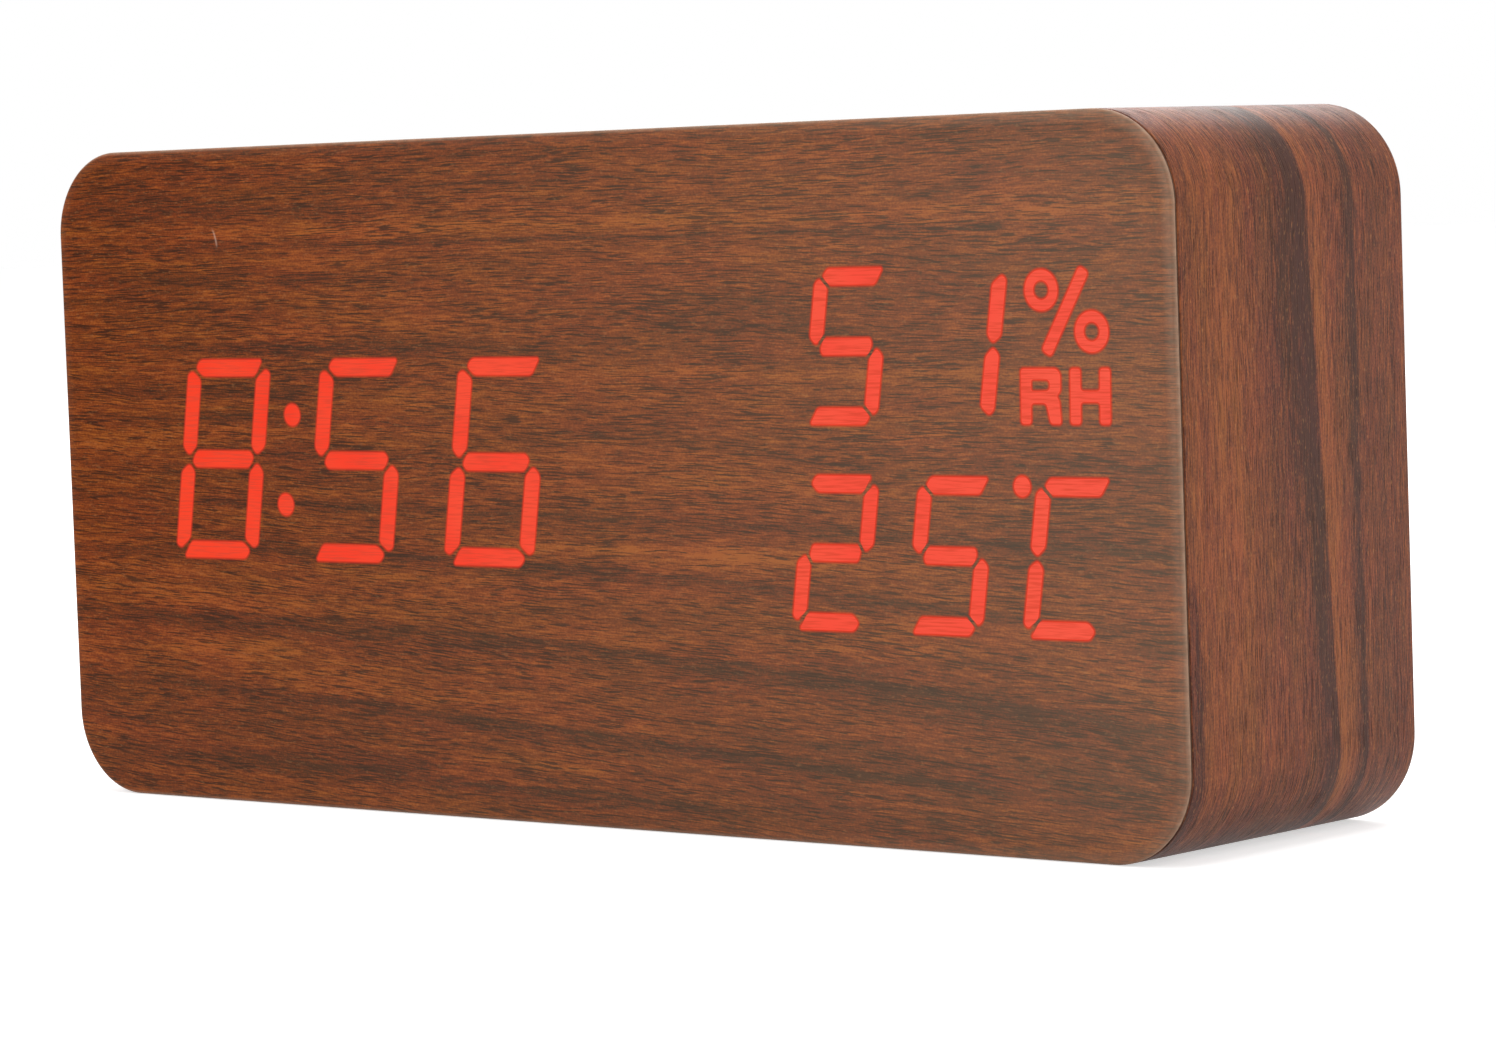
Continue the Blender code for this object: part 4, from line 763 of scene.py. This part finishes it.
def digit_strokes(half_width, half_height, level, upright, gap):
    """The seven strokes round a digit's middle, before it leans. The corners that the lean opens are cut
    back, and those that it closes stay sharp. The middle stroke's points stand in by the tip."""
    w, h, a, b, g = half_width, half_height, level, upright, gap
    tip = 0.6 + 0.01 * g
    top = [(-w + 0.40 * g, h), (-w + 0.40 * g + 0.64 * a, h + a), (w - g - 0.25 * a, h + a),
           (w - g - 0.08 * a, h + 0.72 * a), (w - b - 0.55 * g, h - a), (-w + b + 0.75 * g, h - a)]
    upper_left = [(-w - b, h - 0.75 * a), (-w - 0.34 * b, h - 0.9 * g), (-w + b, h - a - g),
                  (-w + b, a + 1.15 * g), (-w, g), (-w - b, g + 0.9 * b)]
    upper_right = [(w + b, h - 0.60 * a), (w + 0.30 * b, h - 0.4 * g), (w - b, h - a - 0.7 * g),
                   (w - b, a + 1.2 * g), (w - 0.1 * b, 1.4 * g), (w + b, 1.5 * g + 0.8 * b)]
    middle = [(-w + tip, -0.3 * a), (-w + b + 0.2 * g, a), (w - b - 0.45 * g, a),
              (w - tip, 0.3 * a), (w - b - 0.2 * g, -a), (-w + b + 0.45 * g, -a)]
    turned = [[(-x, -z) for x, z in stroke] for stroke in (top, upper_left, upper_right)]
    return {"top": top, "upper_left": upper_left, "upper_right": upper_right, "middle": middle,
            "bottom": turned[0], "lower_right": turned[1], "lower_left": turned[2]}


def placed(points, x, z, lean=readout_lean):
    """Millimetre points round (x, z), leaned and put on the case in metres."""
    return [((x + px + lean * pz) / metre, (z + pz) / metre) for px, pz in points]


def sign_outlines(sign, digit, x, z, corner_round):
    """The lit strokes of one sign, as rounded outlines in metres."""
    strokes = digit_strokes(*digit)
    return [rounded(placed(strokes[stroke], x, z), corner_round) for stroke in lit_strokes[sign]]


def readout_windows():
    """The lit outlines, and the unlit islands in them, in metres and anticlockwise."""
    lit, islands = [], []
    for sign, x in time_middles.items():
        lit += sign_outlines(sign, time_digit, x, time_middle_z, stroke_round)
    for rise in (-colon_half_spacing, colon_half_spacing):
        lit.append(circle(colon_middle_x + readout_lean * rise, time_middle_z + rise, colon_radius))
    for sign, x, z in readings:
        lit += sign_outlines(sign, reading_digit, x, z, stroke_round * reading_round_share)
    lit.append(circle(*degree_dot))
    for x, z in percent_rings:
        lit.append(circle(x, z, percent_ring_radius))
        islands.append(circle(x, z, percent_hole_radius))
    long, wide, turn = slash_half_length, slash_half_width, math.radians(slash_degrees)
    bar = [(-long, -wide), (long, -wide), (long, wide), (-long, wide)]
    slash = [(px * math.cos(turn) - pz * math.sin(turn), px * math.sin(turn) + pz * math.cos(turn))
             for px, pz in bar]
    lit.append(rounded(placed(slash, *slash_middle, 0), stroke_round))
    for letter, x in ((letter_r, letter_r_x), (letter_h, letter_h_x)):
        lit.append(rounded(placed(letter, x, letter_foot_z, letter_lean), letter_round))
    islands.append(rounded(placed(letter_r_hole, letter_r_x, letter_foot_z, letter_lean),
                           letter_round * letter_hole_round_share))
    return [anticlockwise(outline) for outline in lit], [anticlockwise(outline) for outline in islands]


def make_front_film():
    """The front film with its rounded front edge, and the readout's light let into its face."""
    back_finish, lit_finish = 1, 2
    low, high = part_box("front_sheet")
    rings = [(front_film_round * (1 - math.sin(turn)), low.y + front_film_round * (1 - math.cos(turn)))
             for turn in quarter_turns(front_film_steps)]
    rings.append((front_film_rear_round, high.y))
    outlines = [[(x, z) for x, z, _ in case_outline(inset)] for inset, _ in rings]

    # The face is cut along the lit outlines, and along wider ones, between which the light fades
    lit, islands = readout_windows()
    lit = [grown(outline, -lit_trim) for outline in lit]
    islands = [grown(hole, lit_trim) for hole in islands]
    outer = [grown(outline, glow_reach) for outline in lit] + [grown(hole, -glow_reach) for hole in islands]
    points, loops = [], []
    for loop in [[Vector(point) for point in outlines[0]]] + lit + islands + outer:
        loops.append(list(range(len(points), len(points) + len(loop))))
        points.extend(loop)
    found, _, triangles, sources, _, covers = delaunay_2d_cdt(
        [point * metre for point in points], [], loops, 1, 0.000001)
    lit_loops = range(1, 1 + len(lit))
    island_loops = range(lit_loops.stop, lit_loops.stop + len(islands))

    shape = bmesh.new()
    glow = shape.verts.layers.float.new("glow")
    cut = shape.verts.layers.float.new("cut")
    verts = [shape.verts.new((x / metre, rings[0][1], z / metre)) for x, z in found]
    for corners, cover in zip(triangles, covers):
        face = shape.faces.new([verts[i] for i in corners])
        if any(loop in lit_loops for loop in cover) and not any(loop in island_loops for loop in cover):
            face.material_index = lit_finish
            for i in corners:
                verts[i][glow] = 1.0

    # The rounded edge, from the face's outline to the film's back. Its first rings grow paler, partly worn
    # print and partly painted highlight.
    worn_and_highlight_rings = 4
    rims = [[shape.verts.new((x, y, z)) for x, z in outline]
            for outline, (_, y) in zip(outlines[1:], rings[1:])]
    for number, rim in enumerate(rims, 1):
        for vert in rim:
            vert[cut] = min(1.0, number / worn_and_highlight_rings)
    kept = {source: vert for vert, group in zip(verts, sources) for source in group}
    edge = [kept[index] for index in range(len(outlines[0]))]
    for near, far in zip([edge] + rims[:-1], rims):
        for index in range(len(near)):
            after = (index + 1) % len(near)
            shape.faces.new([near[index], far[index], far[after], near[after]])
    back = shape.faces.new(list(reversed(rims[-1])))
    back.material_index = back_finish
    piece = finish_shape(shape, "front_film", ["walnut_front", "film_edge", "lit_stroke"], 50)
    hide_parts("front_sheet")
    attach(piece, "case")


def make_edge_film():
    """The film round the case, turned in over its rear edge. Its UV map runs round the case and over the
    film's own profile, in millimetres."""
    low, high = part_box("side_wrap")

    # Each row has the inset from the case's outline, the y, and the finish: 0 printed and 1 bare
    profile = [(wrap_chamfer_in, low.y, 0), (0.0, low.y + wrap_chamfer_back, 0)]
    profile += [(wrap_rear_round * (1 - math.cos(turn)), high.y - wrap_rear_round * (1 - math.sin(turn)), 0)
                for turn in quarter_turns(wrap_rear_steps)]
    profile += [(wrap_lip, high.y, 1), (wrap_lip, high.y - film_thickness, 1),
                (film_thickness + wrap_lip_slope, high.y - film_thickness, 1), (film_thickness, low.y, 1)]
    outlines = [case_outline(inset) for inset, _, _ in profile]
    walked = [low.y * metre]
    for (inset, y, _), (next_inset, next_y, _) in zip(profile, profile[1:] + profile[:1]):
        walked.append(walked[-1] + math.hypot(next_inset - inset, next_y - y) * metre)
    ways = [way for _, _, way in outlines[0]]
    ways.append(ways[0] + (2 * math.pi * case_corner + 4 * (case_half_x - case_corner)
                           + 2 * (case_height - 2 * case_corner)) * metre)
    shape = bmesh.new()
    film = shape.loops.layers.uv.new("film")
    rings = [[shape.verts.new((x, y, z)) for x, z, _ in outline]
             for outline, (_, y, _) in zip(outlines, profile)]
    count = len(outlines[0])
    for row, (_, _, kind) in enumerate(profile):
        near, far = rings[row], rings[(row + 1) % len(profile)]
        for index in range(count):
            after = (index + 1) % count
            face = shape.faces.new([near[index], near[after], far[after], far[index]])
            face.material_index = kind
            for loop, (u, v) in zip(face.loops, ((index, row), (index + 1, row), (index + 1, row + 1),
                                                 (index, row + 1))):
                loop[film].uv = (ways[u], walked[v])
    piece = finish_shape(shape, "edge_film", ["walnut_wrap", "film_edge"], 50)
    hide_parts("side_wrap")
    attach(piece, "case")


def make_softened(name, node, body):
    """A merged copy of a moulded part, with its edges rounded as a moulding tool leaves them."""
    shape = bmesh.new()
    shape.from_mesh(nodes[node].data)
    bmesh.ops.remove_doubles(shape, verts=shape.verts, dist=merge_distance)
    bmesh.ops.dissolve_limit(shape, angle_limit=math.radians(0.5), verts=shape.verts, edges=shape.edges)
    piece = new_piece(name, mesh_of(shape, name), "black_moulding")
    bevel = piece.modifiers.new("round", "BEVEL")
    bevel.limit_method = "ANGLE"
    bevel.angle_limit = math.radians(50)
    bevel.width = mould_round
    bevel.segments = 2
    bevel.use_clamp_overlap = True
    made_plain(piece)
    shade(piece, 40)
    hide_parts(node)
    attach(piece, body)


def turned_mesh(shape, profile, place, axis, sides):
    """Adds a turned solid to the shape. The profile is (radius, height, finish number) from its top to
    its bottom, and a radius of 0 closes an end. Its along layer runs from 0 at the top to 1."""
    quat = Vector(axis).to_track_quat("Z", "Y")
    top, bottom = profile[0][1], profile[-1][1]
    layer = shape.verts.layers.float.get("along") or shape.verts.layers.float.new("along")
    rings = []
    for radius, height, _ in profile:
        ring = []
        for i in range(sides if radius else 1):
            angle = 2 * math.pi * i / sides
            point = Vector((radius * math.cos(angle), radius * math.sin(angle), height))
            vert = shape.verts.new(Vector(place) + quat @ point)
            vert[layer] = (top - height) / (top - bottom)
            ring.append(vert)
        rings.append(ring)
    for near, far, (_, _, kind) in zip(rings, rings[1:], profile):
        for i in range(sides):
            j = (i + 1) % sides
            corners = [near[i % len(near)], far[i % len(far)], far[j % len(far)], near[j % len(near)]]
            face = shape.faces.new(list(dict.fromkeys(corners)))
            face.material_index = kind


def make_button_caps():
    """Each cap with a shallow dish for the finger, a rounded edge, and the flange that holds it in."""
    cap_radius, flange_top, flange_edge = 0.0035, -0.0037, 0.0001
    dish_and_edge = [(0, -0.00026), (0.0008, -0.00024), (0.0016, -0.00015), (0.0022, -0.00004), (0.0026, 0.0),
                     (0.0029, -0.00003), (0.0032, -0.00014), (0.0034, -0.00032), (cap_radius, -0.0006)]
    for node, body in (("set_button", "set_key"), ("up_button", "up_key"), ("down_button", "down_key")):
        low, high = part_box(node)
        middle = (low + high) / 2
        flange, foot = (high.x - low.x) / 2, low.y - high.y
        outline = dish_and_edge + [(cap_radius, flange_top), (flange - flange_edge, flange_top),
                                   (flange, flange_top - flange_edge), (flange, foot), (0, foot)]
        profile = [(radius, height, 0) for radius, height in outline]
        shape = bmesh.new()
        turned_mesh(shape, profile, (middle.x, high.y, middle.z), (0, 1, 0), 72)
        piece = finish_shape(shape, node.replace("button", "cap"), ["key_plastic"])
        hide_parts(node)
        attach(piece, body)


def make_cells():
    """Dry cells: steel cap, insulating ring, plain sleeve with its turned-in ends, and the flat steel foot."""
    for number in (1, 2, 3):
        node = f"battery_cell_{number}"
        low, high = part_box(node)
        side = -1 if number == 2 else 1
        middle = (low + high) / 2
        tip = high.x if side > 0 else low.x
        radius = (high.z - low.z) / 2
        foot = low.x - high.x
        cap = [(0, 0, 0), (0.0016, 0, 0), (0.00185, -0.00012, 0), (0.0019, -0.0003, 0), (0.0019, -0.00085, 0)]
        ring = [(0.0022, -0.001, 1), (0.0036, -0.00105, 1)]
        sleeve = [(0.0038, -0.00085, 2), (0.0045, -0.00085, 2), (0.0050, -0.00105, 2), (radius, -0.0014, 2),
                  (radius, foot + 0.0005, 2), (0.0050, foot + 0.00015, 2), (0.0044, foot + 0.00004, 2)]
        end = [(0.0042, foot + 0.00022, 0), (0.0026, foot + 0.00022, 0), (0.0023, foot, 0), (0, foot, 0)]
        shape = bmesh.new()
        turned_mesh(shape, cap + ring + sleeve + end, (tip, middle.y, middle.z), (side, 0, 0), 64)
        piece = finish_shape(shape, f"dry_cell_{number}", ["plated_steel", "cell_ring", "cell_sleeve"], 40)
        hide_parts(node)
        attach(piece, "case")


def make_inlet():
    """The power inlet: its moulded block and nose, and the plated pin and inner wall of its bore."""
    low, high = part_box("power_socket")
    middle = (low + high) / 2
    nose, bore, bore_depth, core = 0.0031, 0.0018, 0.0059, 0.0037
    pin, pin_tip, pin_sunk = 0.00065, 0.00045, 0.0006
    block_half, block_round = 0.0038, 0.0003
    face = high.y
    shoulder, foot = inlet_shoulder_y - face, low.y - face
    shape = bmesh.new()
    profile = [(0, -bore_depth, 1), (bore, -bore_depth, 1), (bore, -0.0003, 0), (bore + 0.0002, 0, 0),
               (nose - 0.00025, 0, 0), (nose, -0.00025, 0), (nose, shoulder, 0), (core, shoulder, 0),
               (core, foot, 0), (0, foot, 0)]
    turned_mesh(shape, profile, (middle.x, face, middle.z), (0, 1, 0), 64)
    pin_foot = -bore_depth - 0.0002
    pin_profile = [(0, -pin_sunk, 1), (pin_tip, -0.00065, 1), (pin, -0.0009, 1), (pin, pin_foot, 1),
                   (0, pin_foot, 1)]
    turned_mesh(shape, pin_profile, (middle.x, face, middle.z), (0, 1, 0), 32)
    piece = finish_shape(shape, "inlet_core", ["key_plastic", "plated_steel"])
    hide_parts("power_socket")
    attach(piece, "case")
    block = bmesh.new()
    bmesh.ops.create_cube(block, size=2.0)
    half = Vector((block_half, (inlet_shoulder_y - low.y) / 2, block_half))
    block_middle = Vector((middle.x, (low.y + inlet_shoulder_y) / 2, middle.z))
    for vert in block.verts:
        vert.co = block_middle + vert.co * half
    bmesh.ops.bevel(block, geom=block.edges[:], offset=block_round, segments=2, affect="EDGES")
    body = finish_shape(block, "inlet_body", ["black_moulding"])
    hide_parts("power_socket")
    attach(body, "case")


# Geometry Nodes

def new_geometry_tree(name, inputs):
    return new_group(name, inputs, [("Geometry", "Geometry")], "GeometryNodeTree")


def give_finished(tree, take, give, shape):
    """Ends the tree: its instances made real, in the finish that its input names."""
    real = add_node(tree, "GeometryNodeRealizeInstances", {"Geometry": shape.outputs[0]})
    dressed = add_node(tree, "GeometryNodeSetMaterial", {
        "Geometry": real.outputs[0], "Material": take["Finish"]})
    tree.links.new(dressed.outputs[0], give["Geometry"])


def built(tree, name, values, finish):
    """The tree's result with these inputs, as a plain mesh."""
    holder = new_piece(name, bpy.data.meshes.new(name), finish)
    modifier = holder.modifiers.new("build", "NODES")
    modifier.node_group = tree
    for item in tree.interface.items_tree:
        if item.in_out == "INPUT" and item.name in values:
            modifier[item.identifier] = values[item.name]
    return made_plain(holder)


def facing(axis):
    """The turn that points +Z along the axis."""
    return Vector(axis).to_track_quat("Z", "Y").to_matrix().to_4x4()


def make_spring_tree():
    """A conical spring of round wire along +Z, widest at its foot."""
    tree, take, give = new_geometry_tree("spring", [
        ("Foot Radius", "Float", 0.0033), ("Tip Radius", "Float", 0.0019), ("Height", "Float", 0.0027),
        ("Turns", "Float", 3.0), ("Wire", "Float", 0.0005), ("Finish", "Material", None)])
    spiral = add_node(tree, "GeometryNodeCurveSpiral", {
        "Resolution": 40, "Rotations": take["Turns"], "Start Radius": take["Foot Radius"],
        "End Radius": take["Tip Radius"], "Height": take["Height"]})
    ring = add_node(tree, "GeometryNodeCurvePrimitiveCircle", {"Resolution": 12}, mode="RADIUS")
    tree.links.new(maths(tree, "MULTIPLY", take["Wire"], 0.5), ring.inputs["Radius"])
    wire = add_node(tree, "GeometryNodeCurveToMesh", {
        "Curve": spiral.outputs[0], "Profile Curve": ring.outputs[0], "Fill Caps": True})
    smooth = add_node(tree, "GeometryNodeSetShadeSmooth", {"Geometry": wire.outputs[0]})
    give_finished(tree, take, give, smooth)
    return tree


def make_cell_springs():
    """The three cell springs, each pressed by the foot of its cell."""
    tree = make_spring_tree()
    foot_inset = 0.00025
    for number in (1, 2, 3):
        node = f"cell_spring_{number}"
        low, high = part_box(node)
        side = 1 if number == 2 else -1
        piece = built(tree, f"coil_spring_{number}", {"Finish": finishes["plated_steel"]}, "plated_steel")
        foot_x = (high.x if side > 0 else low.x) - side * foot_inset
        place = Matrix.Translation((foot_x, cell_middle_y, cell_middle_z[number]))
        piece.data.transform(place @ facing((-side, 0, 0)))
        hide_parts(node)
        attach(piece, "case")


def make_screw_head():
    """A pan head with a cross recess and its shank, the head's underside at z = 0, to be repeated."""
    shape = bmesh.new()
    profile = [(0, 0.0013, 0), (0.0007, 0.00128, 0), (0.0012, 0.00115, 0), (0.0016, 0.0009, 0),
               (0.00185, 0.0005, 0), (0.0019, 0.0002, 0), (0.0019, 0.0, 0), (0.0011, 0.0, 0),
               (0.0011, -0.0095, 0), (0, -0.0095, 0)]
    turned_mesh(shape, profile, (0, 0, 0), (0, 0, 1), 48)
    bmesh.ops.recalc_face_normals(shape, faces=shape.faces)
    piece = new_piece("screw_head_shape", mesh_of(shape, "screw_head_shape"), "screw_steel")
    recess_foot, recess_mouth, recess_depth = 0.00022, 0.0017, 0.0014
    recess_middle, recess_width_share = 0.0010, 0.26
    for turn in (0, 90):
        bar = bmesh.new()
        bmesh.ops.create_cone(bar, cap_ends=True, segments=4, radius1=recess_foot, radius2=recess_mouth,
                              depth=recess_depth)
        bmesh.ops.rotate(bar, verts=bar.verts, matrix=Matrix.Rotation(math.radians(45), 3, "Z"))
        bmesh.ops.scale(bar, verts=bar.verts, vec=(1.0, recess_width_share, 1.0))
        bmesh.ops.translate(bar, verts=bar.verts, vec=(0, 0, recess_middle))
        bmesh.ops.rotate(bar, verts=bar.verts, matrix=Matrix.Rotation(math.radians(turn), 3, "Z"))
        cutter = new_object("recess", mesh_of(bar, "recess"))
        cut = piece.modifiers.new("recess", "BOOLEAN")
        cut.object = cutter
        cut.operation = "DIFFERENCE"
        cut.solver = "EXACT"
        made_plain(piece)
        bpy.data.objects.remove(cutter)
    return shade(piece, 30)


def make_cover_screws():
    """The four cover screws, one head repeated at the cover's corners, each turned its own way."""
    head = make_screw_head()
    tree, take, give = new_geometry_tree("cover_screws", [
        ("Head", "Object", None), ("Corners", "Vector", cover_screw_spacing), ("Seed", "Int", 4),
        ("Finish", "Material", None)])
    spacing = parts_of(tree, take["Corners"])
    grid = add_node(tree, "GeometryNodeMeshGrid", {
        "Size X": spacing[0], "Size Y": spacing[1], "Vertices X": 2, "Vertices Y": 2})
    least_turn, most_turn = 0.0, 1.5
    turns = add_node(tree, "FunctionNodeRandomValue", {
        "Seed": take["Seed"], 2: least_turn, 3: most_turn}, data_type="FLOAT")
    angle = vector(tree, 0.0, 0.0, turns.outputs[1])
    shape = add_node(tree, "GeometryNodeObjectInfo", {"Object": take["Head"]})
    heads = add_node(tree, "GeometryNodeInstanceOnPoints", {
        "Points": grid.outputs[0], "Instance": shape.outputs["Geometry"], "Rotation": angle})
    give_finished(tree, take, give, heads)
    piece = built(tree, "cover_screws", {"Head": head, "Finish": finishes["screw_steel"]}, "screw_steel")
    bpy.data.objects.remove(head)
    piece.data.transform(Matrix.Translation((0, cover_screw_seat_y, case_height / 2)) @ facing((0, 1, 0)))
    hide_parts(*[f"cover_screw_{number}" for number in (1, 2, 3, 4)])
    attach(piece, "case")


# The dressed clock

for part in frame["record"]["subparts"]:
    materials = nodes[part["node"]].data.materials
    materials.clear()
    materials.append(finishes[part["material_slot"]])

make_front_film()
make_edge_film()
make_softened("cover_panel", "rear_cover", "case")
make_softened("door_panel", "battery_door", "door")
make_button_caps()
make_cells()
make_inlet()
make_cell_springs()
make_cover_screws()


# Floor, light and camera

def add_floor():
    """A pale floor just under the case, which is white where it is seen and keeps the clock's shadow."""
    reach, depth = 4.0, -0.00005
    mesh = bpy.data.meshes.new("floor")
    mesh.from_pydata([(-reach, -reach, depth), (reach, -reach, depth), (reach, reach, depth),
                      (-reach, reach, depth)], [], [(0, 1, 2, 3)])
    floor = new_object("floor", mesh)
    made, tree, shader = new_material("pale_floor", roughness=0.9, specular=0.1)
    shader.inputs["Base Color"].default_value = (0.8, 0.8, 0.8, 1)
    lift = blended(tree, seen_ray(tree), black, (0.58, 0.58, 0.58, 1))
    tree.links.new(lift, shader.inputs["Emission Color"])
    shader.inputs["Emission Strength"].default_value = 1.0
    mesh.materials.append(made)


def add_world():
    """Even studio light, and plain white where the background is seen."""
    world = bpy.data.worlds.new("studio")
    bpy.context.scene.world = world
    world.use_nodes = True
    tree = world.node_tree
    background = tree.nodes["Background"]
    background.inputs["Color"].default_value = white
    tree.links.new(spread(tree, seen_ray(tree), 0.0, 1.0, to_low=0.5, to_high=1.0),
                   background.inputs["Strength"])


def add_lamp(name, place, target, size, power):
    """A square soft box that faces its target."""
    data = bpy.data.lights.new(name, "AREA")
    data.shape = "RECTANGLE"
    data.size = data.size_y = size
    data.energy = power
    lamp = new_object(name, data)
    lamp.location = place
    lamp.rotation_euler = (Vector(target) - Vector(place)).to_track_quat("-Z", "Y").to_euler()


def add_camera():
    """The camera at the photograph's place. Its directions are those fitted to the clock's outline."""
    data = bpy.data.cameras.new("camera")
    data.lens = 122.893
    data.sensor_width = 36
    data.clip_start = 0.01
    camera = new_object("camera", data)
    place = (0.3468820, -0.3972948, 0.0639948)
    right = Vector((0.7607155546539119, 0.6481456406135686, -0.034915232509863))
    down = Vector((0.017355223803561914, -0.07408273911153995, -0.9971010700889151))
    ahead = Vector((-0.6488533278903017, 0.757904331904336, -0.0676046046236678))
    camera.matrix_world = Matrix.Translation(place) @ Matrix((right, -down, -ahead)).transposed().to_4x4()
    bpy.context.scene.camera = camera


add_floor()
add_world()
add_lamp("front_softbox", (-0.55, -0.95, 0.55), (0.02, -0.02, 0.04), 0.8, 5.5)
add_lamp("side_softbox", (0.95, 0.25, 0.6), (0.07, 0.0, 0.035), 0.7, 3.0)
add_lamp("top_softbox", (0.0, 0.1, 1.2), (0, 0, 0.03), 1.0, 8.0)
add_lamp("rear_softbox", (-0.5, 0.95, 0.6), (0, 0.02, 0.035), 0.7, 3.8)
add_camera()

bpy.context.scene.view_settings.view_transform = "Standard"
